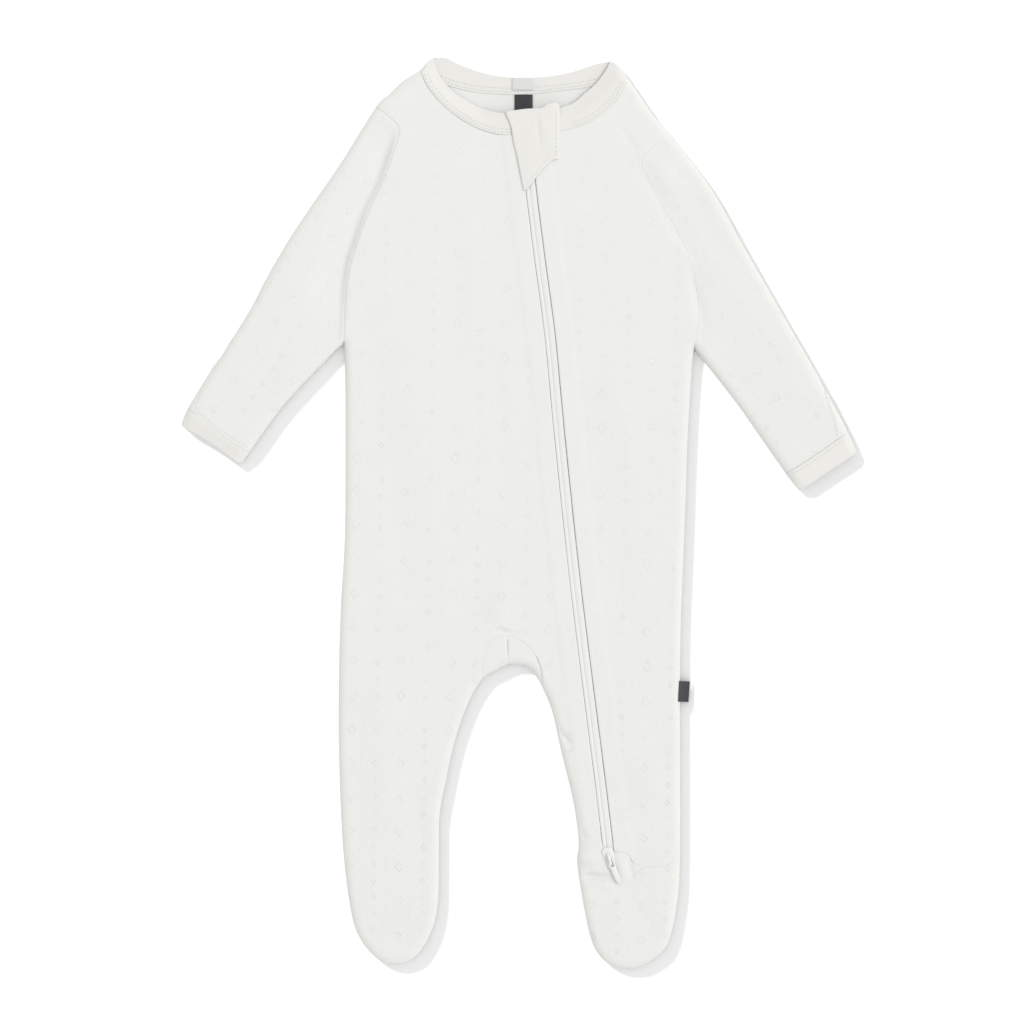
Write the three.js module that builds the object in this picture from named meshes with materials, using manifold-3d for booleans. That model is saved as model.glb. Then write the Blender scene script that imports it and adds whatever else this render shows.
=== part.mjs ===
// Footed baby sleepsuit in fine pointelle jersey, laid flat on its back with the zip done up.
// Millimetres. +X is the wearer's left, +Y runs from the feet to the neck, +Z is up off the table.
// Every cloth piece is a wall that follows one of two layers: the back lies on the table and the
// front lies over it, and both roll round to meet at the side seams.
import * as THREE from 'three';
import Module from 'manifold-3d';
import { mergeVertices } from 'three/addons/utils/BufferGeometryUtils.js';

// Driving dimensions of the laid cloth
const LAID_HEIGHT = 6;
const SEAM_HEIGHT = 2.4;
const FRONT_ROLL = 6;
const BACK_ROLL = 3;
const WALL = 1.2;
const SEAM_GAP = 0.3;

// Bands, mittens and the fold-over guard at the top of the zip
const BAND_WALL = 1.7;
const BAND_RAISE = 0.5;
const MITTEN_WALL = 1;
const MITTEN_CLEAR = 1.3;
const GUARD_WALL = 1.6;
const LYING_GAP = 0.3;

// Zip: coil, tapes, slider and pull
const ZIP_OPENING = 6.8;
const COIL_WIDTH = 3;
const COIL_HEIGHT = 1.8;
const TAPE_WALL = 1;
const TAPE_REACH = 9;
const SLIDER_LENGTH = 12.4;
const SLIDER_WIDTH = 8;
const SLIDER_TURN = THREE.MathUtils.degToRad(14);
const PULL_LENGTH = 16;
const PULL_WIDTH = 5;
const PULL_WIRE = 1;
const SLIDER_PLACE = [55.6, -213.6, 0];

// Labels, lying bare: size, place and, for the tab in the side seam, how it leans and turns
const LABEL_WALL = 0.8;
const LABEL_SIZE = { width: 14.2, height: 7.6, x: 2.8, y: 265.4 };
const LABEL_NECK = { width: 11.2, height: 18, x: 3.1, y: 248 };
const LABEL_SIDE = { width: 7.4, height: 12.8, place: [102.3, -111.3, 4.2], lean: 22, turn: -4 };

// How finely the outlines and panels are divided
const LONGEST_STEP = 13;
const SHARPEST_BEND = THREE.MathUtils.degToRad(17);
const PANEL_GRID = 17;
const BACK_GRID = 34;
const FRONT_ROLL_SHARES = [0.134, 0.5, 1];
const BACK_ROLL_SHARES = [0.293, 1];

const table = (columns, values) => values.map((row) => (
  Object.fromEntries(columns.map((name, i) => [name, row[i]]))
));

// The silhouette, where front and back meet. A row with a run name starts that run.
const RIGHT_UPPER_EDGE = table(['x', 'y', 'run'], [
  [-52.7, 281.8, 'bandFoldRight'],
  [-57.5, 278.3],
  [-61.4, 273.7, 'shoulderRight'],
  [-72, 267],
  [-80.5, 258.8],
  [-88.7, 250.8, 'sleeveEdgeRight'],
  [-111, 215.5],
  [-139, 174.5],
  [-156.5, 145],
  [-166, 126.5],
  [-180, 104, 'mittenEdgeRight'],
  [-192, 86],
  [-205.4, 63.8, 'cuffEdgeRight'],
  [-209.2, 54.4, null],
]);
const LEFT_UPPER_EDGE = table(['x', 'y', 'run'], [
  [56.4, 279.3, 'bandFoldLeft'],
  [62, 276.4],
  [67.8, 268.5, 'shoulderLeft'],
  [76, 256.5],
  [83.7, 245.5],
  [92.4, 235.3, 'sleeveEdgeLeft'],
  [117.8, 202.4],
  [138.9, 165.2],
  [161.2, 126.2],
  [184.8, 85.3, 'mittenEdgeLeft'],
  [194.5, 67.5],
  [203.8, 49.4, 'cuffEdgeLeft'],
  [209, 38.4, null],
]);
const RIGHT_LOWER_EDGE = table(['x', 'y', 'run'], [
  [-171.5, 31, 'cuffUnderRight'],
  [-167.4, 36.5, 'underarmRight'],
  [-145.7, 66.3],
  [-116.6, 97],
  [-108.4, 104.4, null],
]);
const BODY_EDGE = table(['x', 'y', 'run'], [
  [-108.4, 104.4, 'sideRight'],
  [-107.6, 70],
  [-107.9, -11.5],
  [-110.4, -58],
  [-111.6, -100],
  [-111.6, -151],
  [-109.2, -207, 'footRight'],
  [-104.8, -244],
  [-99.5, -262.6],
  [-88.5, -276.5],
  [-76.5, -280.4],
  [-64, -275.5],
  [-54.5, -260.5],
  [-50.2, -241],
  [-49.6, -209, 'innerLegRight'],
  [-49.2, -188],
  [-45.9, -169.6],
  [-39.7, -141.7],
  [-31.2, -118],
  [-22.9, -103.9, 'crotchRight'],
  [-14.6, -98.6],
  [-6.6, -94.9, 'crotchLeft'],
  [1.6, -94.9],
  [8.4, -98.9],
  [14.2, -108.4, 'innerLegLeft'],
  [20.6, -124],
  [26.7, -151],
  [33.5, -178.9],
  [37, -204],
  [36, -216.1, 'footLeft'],
  [38.4, -234.7],
  [44, -262.6],
  [50.3, -275.6],
  [60, -282],
  [72, -282.6],
  [83, -277.4],
  [92, -267.8],
  [97.3, -247],
  [99.8, -214.2, 'sideLeft'],
  [99.8, -116.9],
  [100.4, -67.3],
  [102.6, -11.5],
  [104.8, 50.5],
  [107.2, 89],
  [108.5, 101.6, null],
]);
const LEFT_LOWER_EDGE = table(['x', 'y', 'run'], [
  [108.5, 101.6, 'underarmLeft'],
  [116.5, 91],
  [136.2, 65.4],
  [165.4, 23.7, 'cuffUnderLeft'],
  [174, 13.2, null],
]);

// Seams inside the silhouette, from edge to edge or from an edge to the zip
const ARMHOLE_RIGHT = [[-88.7, 250.8], [-80.8, 244.6], [-74.6, 237.4], [-76.4, 227], [-83.7, 206.8],
  [-91.1, 191], [-101, 165.2], [-106.4, 143.5], [-108.1, 122], [-108.4, 104.4]];
const ARMHOLE_LEFT = [[92.4, 235.3], [83.4, 226.6], [75.8, 217], [79.4, 207], [86.9, 192], [97, 175],
  [105, 158], [110, 136], [110.9, 118], [108.5, 101.6]];
const NECK_SEAM_RIGHT = [[-61.4, 273.7], [-57, 263.8], [-50.5, 255.3], [-43.4, 248.3], [-34.1, 241.8],
  [-25.4, 237.2], [-12.8, 233.6]];
const NECK_SEAM_LEFT = [[67.8, 268.5], [64.2, 261.3], [59.1, 253.4], [50.5, 245.5], [40.3, 239.6],
  [25.4, 235.3]];
const NECK_SEAM_BACK = [[-61.4, 273.7], [-50, 266], [-35, 260.8], [-19, 258.2], [3, 257.4], [25, 259],
  [43, 262], [56, 265.4], [67.8, 268.5]];
const NECK_EDGE_RIGHT = [[-52.7, 281.8], [-49, 270.6], [-41.5, 261.3], [-31.6, 254.5], [-21.7, 249.6],
  [-11.8, 247.1]];
const NECK_EDGE_LEFT = [[56.4, 279.3], [54.2, 274.6], [47.7, 265.7], [40.3, 259.2], [33.2, 253.4],
  [22, 249.6]];
const NECK_EDGE_BACK = [[-52.7, 281.8], [-45.5, 281.6], [-39.7, 278.7], [-25.4, 273.1], [-11.2, 270],
  [3.1, 269.4], [17.4, 270], [31.6, 272.5], [47, 277.4], [56.4, 279.3]];
const CUFF_SEAM_RIGHT = [[-205.4, 63.8], [-200.3, 59.8], [-184, 47.4], [-167.4, 36.5]];
const CUFF_SEAM_LEFT = [[203.8, 49.4], [195.9, 44], [181, 33.6], [165.4, 23.7]];
const CUFF_END_RIGHT = [[-209.2, 54.4], [-206.5, 51.6], [-190, 41.6], [-176, 31.4], [-171.5, 31]];
const CUFF_END_LEFT = [[209, 38.4], [207.5, 35.6], [191, 24.6], [174, 13.2]];
const GUSSET_ARCH = [[-22.9, -103.9], [-22.3, -92.1], [-19.8, -83.4], [-15.4, -77.9], [-7.4, -76.3],
  [1.4, -79.9], [9, -87.2], [13.4, -97.4], [14.2, -108.4]];
const GUSSET_CENTRE = [[-7.4, -76.3], [-6.6, -94.9]];
const HEEL_RIGHT = [[-109.2, -207], [-95, -213], [-80, -215], [-64, -213.5], [-49.6, -209]];
const HEEL_LEFT = [[36, -216.1], [50, -220], [68, -221.5], [86, -219.6], [99.8, -214.2]];
const ZIP_CENTRE = [[2.4, 247.4], [3.8, 234.1], [7.4, 200], [13.2, 154], [19.2, 108.8], [24.8, 50.5],
  [32.9, -27], [40.3, -89], [50.2, -166.5], [55, -206.5]];
// Where the edges of the opening meet the band's top edge, the neck seam and the foot
const ZIP_TOP_RIGHT = [-0.9, 246.6];
const ZIP_TOP_LEFT = [5.9, 247.2];
const ZIP_SEAM_RIGHT = [0.4, 233.4];
const ZIP_SEAM_LEFT = [7.2, 234];
const ZIP_FOOT_RIGHT = [52.4, -222.4];
const ZIP_FOOT_LEFT = [58.6, -210.4];
const ANKLE_INNER = [[36, -216.1], [44, -219.8]];
const FOOT_BESIDE_ZIP = [[57.3, -216]];
const ANKLE_OUTER = [[62.8, -210.6], [67.2, -211.8], [69.6, -216.2], [74, -218.8], [84.3, -219.8],
  [92.4, -217.9], [99.8, -214.2]];
const MITTEN_LINE_RIGHT = [[-189.8, 86.5], [-194.6, 76], [-200.3, 59.8]];
const MITTEN_LINE_LEFT = [[191.4, 66.4], [194.8, 54.6], [195.9, 44]];
const GUARD_OUTLINE = [[-8.7, 247.4], [3.1, 249.2], [13.6, 249.9], [18, 252.4], [24.2, 252.8],
  [25.2, 248], [25.3, 235], [25.1, 219.4], [20.5, 217.4], [13.6, 210.6], [5.6, 200.4], [3.2, 198.5],
  [1.9, 203], [-0.9, 218], [-3.6, 229.2], [-5, 238]];

// Large folds: centre, direction in degrees from +X, length, half-width and height (below 0, a trough)
const FOLDS = table(['x', 'y', 'angle', 'length', 'width', 'height'], [
  [-83, 208, 70, 74, 3, -2.2],
  [-98, 172, 69, 70, 3.2, -1.8],
  [-107, 134, 82, 62, 3.2, -2],
  [81, 202, 118, 56, 3, -1.3],
  [98, 172, 119, 62, 3, -1.2],
  [109.6, 134, 98, 54, 3, -1.5],
  [-90, 212, 68, 60, 7, 0.8],
  [89, 208, 118, 60, 7, 0.8],
  [70, 228, 52, 40, 5, -0.6],
  [-7, -70, 4, 18, 3, -1],
  [-12, -60, 62, 44, 8, 0.7],
  [26, -141, -58, 24, 4, -1.2],
  [39, -199, -62, 16, 3, -1.4],
  [45, -225.6, -14, 22, 3.4, -1.6],
  [44, -215.6, -16, 20, 3, 0.8],
  [71.2, -223, -84, 22, 2.6, -1.3],
  [64, -218, -88, 24, 4, 0.8],
  [-80, -150, 84, 150, 12, 0.6],
  [76, -150, 91, 120, 12, 0.5],
  [-60, 60, 88, 190, 16, 0.6],
  [70, 40, 94, 170, 14, 0.6],
  [-146, 128, 56, 130, 12, 0.6],
  [150, 118, 121, 130, 12, 0.6],
]);

const GUARD_FOLDS = table(['x', 'y', 'angle', 'length', 'width', 'height'], [
  [15, 238, 97, 34, 4, 0.8],
  [6, 222, 80, 40, 4, 0.5],
]);

const IVORY = 0xf1f0ea;
const cloth = new THREE.MeshStandardMaterial({ color: IVORY, roughness: 0.95, metalness: 0 });
const binding = new THREE.MeshStandardMaterial({ color: 0xefeee7, roughness: 0.92, metalness: 0 });
const zipTape = new THREE.MeshStandardMaterial({ color: 0xf3f3f0, roughness: 0.85, metalness: 0 });
const zipCoil = new THREE.MeshStandardMaterial({ color: 0xf4f4f2, roughness: 0.45, metalness: 0 });
const coatedMetal = new THREE.MeshStandardMaterial({ color: 0xf2f2f0, roughness: 0.35, metalness: 0.1 });
const blackLabel = new THREE.MeshStandardMaterial({ color: 0x151515, roughness: 0.6, metalness: 0 });
const greyLabel = new THREE.MeshStandardMaterial({ color: 0xdcdce4, roughness: 0.7, metalness: 0 });

const wasm = await Module();
wasm.setup();

// Lines

const vector = ([x, y]) => new THREE.Vector2(x, y);
const last = (list) => list[list.length - 1];

// Points along a smooth line, no further apart than LONGEST_STEP and no more than SHARPEST_BEND
// between them. An end that meets the silhouette gets extra points where the cloth rolls over.
function divide(curve, from, to, rollsAtStart, rollsAtEnd) {
  const fineSteps = 160;
  const fine = Array.from({ length: fineSteps + 1 }, (_, i) => (
    curve.getPoint(from + (to - from) * (i / fineSteps))
  ));
  const lengths = [0];
  const costs = [0];
  for (let i = 1; i <= fineSteps; i += 1) {
    const step = fine[i].clone().sub(fine[i - 1]);
    const next = i < fineSteps ? fine[i + 1].clone().sub(fine[i]) : step;
    const turn = Math.abs(Math.atan2(step.cross(next), step.dot(next)));
    lengths.push(lengths[i - 1] + step.length());
    costs.push(costs[i - 1] + Math.max(step.length() / LONGEST_STEP, turn / SHARPEST_BEND));
  }
  const lookUp = (keys, values, key) => {
    const i = Math.max(1, keys.findIndex((value) => value >= key));
    const share = (key - keys[i - 1]) / (keys[i] - keys[i - 1]);
    return values[i - 1] + (values[i] - values[i - 1]) * share;
  };
  const count = Math.max(1, Math.ceil(last(costs)));
  const total = last(lengths);
  const rollSteps = FRONT_ROLL_SHARES.map((share) => share * FRONT_ROLL);
  const clear = FRONT_ROLL * 1.5;
  let stations = Array.from({ length: count - 1 }, (_, i) => (
    lookUp(costs, lengths, (last(costs) * (i + 1)) / count)
  ));
  if (rollsAtStart) stations = [...rollSteps, ...stations.filter((s) => s > clear)];
  if (rollsAtEnd) {
    stations = [...stations.filter((s) => s < total - clear),
      ...rollSteps.map((step) => total - step).reverse()];
  }
  const middle = stations.map((s) => {
    const i = Math.max(1, lengths.findIndex((value) => value >= s));
    const share = (s - lengths[i - 1]) / (lengths[i] - lengths[i - 1]);
    return fine[i - 1].clone().lerp(fine[i], share);
  });
  return [fine[0], ...middle, fine[fineSteps]];
}

// Every run of the pattern by name: its points, and how far each piece stays back from it
const runs = {};
const EDGE = { inset: 0, rolls: true };
const SEAM = { inset: SEAM_GAP / 2, rolls: false };
const FREE = { inset: 0, rolls: false };

function addEdge(rows) {
  const curve = new THREE.SplineCurve(rows.map(({ x, y }) => new THREE.Vector2(x, y)));
  const starts = rows.flatMap(({ run }, i) => (run === undefined ? [] : [i]));
  for (let k = 0; k + 1 < starts.length; k += 1) {
    const [from, to] = [starts[k], starts[k + 1]].map((i) => i / (rows.length - 1));
    runs[rows[starts[k]].run] = { ...EDGE, points: divide(curve, from, to, false, false) };
  }
}

function addLine(name, kind, points, { start = false, end = false } = {}) {
  const curve = new THREE.SplineCurve(points.map((p) => (p.isVector2 ? p : vector(p))));
  runs[name] = { ...kind, points: divide(curve, 0, 1, start, end) };
}

// A line moved sideways by the same distance all along, to its left where that is above 0
function beside(points, distance) {
  return points.map((p, i) => {
    const along = points[Math.min(i + 1, points.length - 1)].clone().sub(points[Math.max(i - 1, 0)]);
    return new THREE.Vector2(-along.y, along.x).setLength(Math.abs(distance))
      .multiplyScalar(Math.sign(distance)).add(p);
  });
}

addEdge(RIGHT_UPPER_EDGE);
addEdge(LEFT_UPPER_EDGE);
addEdge(RIGHT_LOWER_EDGE);
addEdge(BODY_EDGE);
addEdge(LEFT_LOWER_EDGE);

const zipCurve = new THREE.SplineCurve(ZIP_CENTRE.map(vector));
const zipCentre = divide(zipCurve, 0, 1, false, false);
const zipEdge = (side, start, end) => ({ ...FREE, points: [vector(start),
  ...beside(zipCentre, side * (ZIP_OPENING / 2)).slice(1, -1)
    .filter((p) => p.y < start[1] - LONGEST_STEP / 2), vector(end)] });

addLine('neckSeamRight', SEAM, [...NECK_SEAM_RIGHT, ZIP_SEAM_RIGHT], { start: true });
addLine('neckSeamLeft', SEAM, [...NECK_SEAM_LEFT, ZIP_SEAM_LEFT], { start: true });
addLine('neckSeamBack', SEAM, NECK_SEAM_BACK, { start: true, end: true });
addLine('neckEdgeRight', FREE, [...NECK_EDGE_RIGHT, ZIP_TOP_RIGHT], { start: true });
addLine('neckEdgeLeft', FREE, [...NECK_EDGE_LEFT, ZIP_TOP_LEFT], { start: true });
addLine('neckEdgeBack', FREE, NECK_EDGE_BACK, { start: true, end: true });
addLine('armholeRight', SEAM, ARMHOLE_RIGHT, { start: true, end: true });
addLine('armholeLeft', SEAM, ARMHOLE_LEFT, { start: true, end: true });
addLine('cuffSeamRight', SEAM, CUFF_SEAM_RIGHT, { start: true, end: true });
addLine('cuffSeamLeft', SEAM, CUFF_SEAM_LEFT, { start: true, end: true });
addLine('cuffEndRight', FREE, CUFF_END_RIGHT, { start: true, end: true });
addLine('cuffEndLeft', FREE, CUFF_END_LEFT, { start: true, end: true });
addLine('gussetArchRight', SEAM, GUSSET_ARCH.slice(0, 5), { start: true });
addLine('gussetArchLeft', SEAM, GUSSET_ARCH.slice(4), { end: true });
addLine('gussetCentre', SEAM, GUSSET_CENTRE, { end: true });
addLine('heelRight', SEAM, HEEL_RIGHT, { start: true, end: true });
addLine('heelLeft', SEAM, HEEL_LEFT, { start: true, end: true });
addLine('ankleInner', SEAM, [...ANKLE_INNER, ZIP_FOOT_RIGHT], { start: true });
addLine('footBesideZip', FREE, [ZIP_FOOT_RIGHT, ...FOOT_BESIDE_ZIP, ZIP_FOOT_LEFT]);
addLine('ankleOuter', SEAM, [ZIP_FOOT_LEFT, ...ANKLE_OUTER], { end: true });
// A mitten starts one step down its edge, where the sleeve is already drawn in under it
for (const [side, line] of [['Right', MITTEN_LINE_RIGHT], ['Left', MITTEN_LINE_LEFT]]) {
  const rim = runs[`mittenEdge${side}`].points.slice(1);
  runs[`mittenRim${side}`] = { ...EDGE, points: rim };
  addLine(`mittenLine${side}`, FREE, [rim[0], ...line], { start: true });
}
addLine('mittenHemRight', SEAM, [last(MITTEN_LINE_RIGHT), CUFF_SEAM_RIGHT[0]], { end: true });
addLine('mittenHemLeft', SEAM, [last(MITTEN_LINE_LEFT), CUFF_SEAM_LEFT[0]], { end: true });
addLine('bandEndRight', FREE, [ZIP_SEAM_RIGHT, ZIP_TOP_RIGHT]);
addLine('bandEndLeft', FREE, [ZIP_SEAM_LEFT, ZIP_TOP_LEFT]);
runs.zipEdgeRight = zipEdge(-1, ZIP_SEAM_RIGHT, ZIP_FOOT_RIGHT);
runs.zipEdgeLeft = zipEdge(1, ZIP_SEAM_LEFT, ZIP_FOOT_LEFT);

// A sleeve is drawn in under its mitten, whose outer face takes over the silhouette there
function drawnIn(name, side) {
  const { points } = runs[name];
  const shifted = beside(points, side * MITTEN_CLEAR);
  return { ...EDGE, points: [points[0], ...shifted.slice(1, -1), last(shifted)] };
}
runs.mittenUnderRight = drawnIn('mittenEdgeRight', 1);
runs.mittenUnderLeft = drawnIn('mittenEdgeLeft', -1);
for (const side of ['Right', 'Left']) {
  const seam = runs[`cuffSeam${side}`].points;
  runs[`sleeveHem${side}`] = { ...SEAM, points: [last(runs[`mittenUnder${side}`].points),
    ...seam.slice(2)] };
}

// Layers

// The silhouette's three lines, each with the cloth on its left. A minus sign before a name takes
// that run backwards.
const GARMENT_EDGES = [
  ['bandFoldRight', 'shoulderRight', 'sleeveEdgeRight', 'mittenEdgeRight', 'cuffEdgeRight'],
  ['-cuffEdgeLeft', '-mittenEdgeLeft', '-sleeveEdgeLeft', '-shoulderLeft', '-bandFoldLeft'],
  ['cuffUnderRight', 'underarmRight', 'sideRight', 'footRight', 'innerLegRight', 'crotchRight',
    'crotchLeft', 'innerLegLeft', 'footLeft', 'sideLeft', 'underarmLeft', 'cuffUnderLeft'],
];
// A sleeve's own silhouette ends at its cuff, and is drawn in under its mitten
const SLEEVE_EDGES = GARMENT_EDGES.map((names) => (
  names.filter((name) => !name.includes('cuffEdge'))
    .map((name) => name.replace('mittenEdge', 'mittenUnder'))
));
const pointsAlong = (name) => (
  name.startsWith('-') ? [...runs[name.slice(1)].points].reverse() : runs[name].points
);
const joined = (names) => names.flatMap((name, i) => pointsAlong(name).slice(i === 0 ? 0 : 1));

// The nearest place on the silhouette: how far it is and which way the cloth lies from it
function nearestEdge(p, lines) {
  let best = { distance: Infinity };
  for (const line of lines) {
    for (let i = 0; i + 1 < line.length; i += 1) {
      const a = line[i];
      const b = line[i + 1];
      const span = b.clone().sub(a);
      const share = THREE.MathUtils.clamp(p.clone().sub(a).dot(span) / span.lengthSq(), 0, 1);
      const foot = a.clone().addScaledVector(span, share);
      const distance = foot.distanceTo(p);
      if (distance < best.distance) best = { distance, foot, line, i, share };
    }
  }
  if (best.distance > 1e-4) {
    best.inward = p.clone().sub(best.foot).normalize();
    return best;
  }
  const { line, i, share } = best;
  const before = line[share < 1e-4 ? Math.max(i - 1, 0) : i];
  const after = line[share > 1 - 1e-4 ? Math.min(i + 2, line.length - 1) : i + 1];
  const along = after.clone().sub(before).normalize();
  best.inward = new THREE.Vector2(-along.y, along.x);
  return best;
}

// Height of the folds at a point: soft ridges and troughs that fade out along their length
function foldHeight(p, folds) {
  let height = 0;
  for (const fold of folds) {
    const angle = THREE.MathUtils.degToRad(fold.angle);
    const [dx, dy] = [p.x - fold.x, p.y - fold.y];
    const along = (dx * Math.cos(angle) + dy * Math.sin(angle)) / (fold.length / 2);
    const across = (dy * Math.cos(angle) - dx * Math.sin(angle)) / fold.width;
    if (Math.abs(along) < 1) height += fold.height * (1 - along ** 2) ** 2 * Math.exp(-(across ** 2));
  }
  return height;
}

const front = { seam: SEAM_HEIGHT, top: LAID_HEIGHT, roll: FRONT_ROLL, side: 1, folds: FOLDS,
  edges: GARMENT_EDGES, shares: FRONT_ROLL_SHARES, grid: PANEL_GRID, raise: 0 };
const back = { seam: SEAM_HEIGHT, top: 0, roll: BACK_ROLL, side: -1, folds: [],
  edges: GARMENT_EDGES, shares: BACK_ROLL_SHARES, grid: BACK_GRID, raise: 0 };

// The outer face of a layer over a point of the pattern. The roll at the silhouette is a quarter of
// an ellipse, from upright at the seam to level at the top of the layer.
function onLayer(p, layer) {
  const lines = layer.lines ?? (layer.lines = layer.edges.map(joined));
  const { distance, inward } = nearestEdge(p, lines);
  const across = Math.max(0, 1 - distance / layer.roll);
  const up = Math.sqrt(1 - across ** 2);
  const rise = layer.top - layer.seam;
  const relief = (x, y) => {
    if (layer.folds.length === 0) return 0;
    const q = new THREE.Vector2(x, y);
    const fade = THREE.MathUtils.smoothstep(nearestEdge(q, lines).distance, 0, FRONT_ROLL * 1.5);
    return fade * foldHeight(q, layer.folds);
  };
  const step = 0.25;
  const slopeX = (relief(p.x + step, p.y) - relief(p.x - step, p.y)) / (2 * step);
  const slopeY = (relief(p.x, p.y + step) - relief(p.x, p.y - step)) / (2 * step);
  const tilt = (rise * across) / layer.roll;
  const normal = new THREE.Vector3(-inward.x * tilt - up * slopeX, -inward.y * tilt - up * slopeY, up)
    .multiplyScalar(layer.side).normalize();
  const height = layer.seam + rise * up + relief(p.x, p.y);
  return {
    outer: new THREE.Vector3(p.x, p.y, height).addScaledVector(normal, layer.raise * up),
    normal,
  };
}

// Panels

const insidePolygon = (p, polygon) => {
  let inside = false;
  polygon.forEach((a, i) => {
    const b = polygon[(i + 1) % polygon.length];
    if ((a.y > p.y) !== (b.y > p.y) && p.x < a.x + ((b.x - a.x) * (p.y - a.y)) / (b.y - a.y)) {
      inside = !inside;
    }
  });
  return inside;
};

// The outline of a panel, run by run. The corners are the mitres of the runs that meet there, each
// set back by its own half gap.
function outlineOf(names) {
  const corners = names.flatMap((name) => {
    const { inset, rolls } = runs[name.replace('-', '')];
    return pointsAlong(name).slice(0, -1).map((p) => ({ p, inset, rolls }));
  });
  const anticlockwise = THREE.ShapeUtils.area(corners.map(({ p }) => p)) > 0 ? 1 : -1;
  return corners.map((corner, i) => {
    const before = corners[(i + corners.length - 1) % corners.length];
    const after = corners[(i + 1) % corners.length];
    const inwardOf = (a, b) => {
      const along = b.clone().sub(a).normalize();
      return new THREE.Vector2(-along.y, along.x).multiplyScalar(anticlockwise);
    };
    const n1 = inwardOf(before.p, corner.p);
    const n2 = inwardOf(corner.p, after.p);
    const turn = n1.cross(n2);
    const rolls = corner.rolls && before.rolls;
    const touches = corner.rolls || before.rolls;
    if (Math.abs(turn) < 0.12) {
      const shift = n1.clone().add(n2).setLength((before.inset + corner.inset) / 2);
      return { p: corner.p.clone().add(shift), rolls, touches };
    }
    const shift = new THREE.Vector2(
      (before.inset * n2.y - corner.inset * n1.y) / turn,
      (corner.inset * n1.x - before.inset * n2.x) / turn,
    );
    return { p: corner.p.clone().add(shift), rolls, touches };
  });
}

// Triangles joining the points so that no point lies inside another triangle's circle
function delaunay(points) {
  const far = 1e5;
  const all = [...points, vector([-far, -far]), vector([far, -far]), vector([0, far])];
  const circled = (a, b, c) => {
    const [p, q, r] = [all[a], all[b], all[c]];
    const [bx, by, cx, cy] = [q.x - p.x, q.y - p.y, r.x - p.x, r.y - p.y];
    const twice = 2 * (bx * cy - by * cx);
    const x = (cy * (bx * bx + by * by) - by * (cx * cx + cy * cy)) / twice;
    const y = (bx * (cx * cx + cy * cy) - cx * (bx * bx + by * by)) / twice;
    return { corners: twice > 0 ? [a, b, c] : [a, c, b], x: p.x + x, y: p.y + y, r2: x * x + y * y };
  };
  const n = points.length;
  let triangles = [circled(n, n + 1, n + 2)];
  points.forEach((p, k) => {
    const open = new Map();
    triangles = triangles.filter((t) => {
      if ((p.x - t.x) ** 2 + (p.y - t.y) ** 2 >= t.r2) return true;
      t.corners.forEach((a, i) => {
        const b = t.corners[(i + 1) % 3];
        if (open.has(`${b},${a}`)) open.delete(`${b},${a}`);
        else open.set(`${a},${b}`, [a, b]);
      });
      return false;
    });
    for (const [a, b] of open.values()) triangles.push(circled(a, b, k));
  });
  return triangles.map((t) => t.corners).filter((corners) => corners.every((k) => k < n));
}

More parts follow.
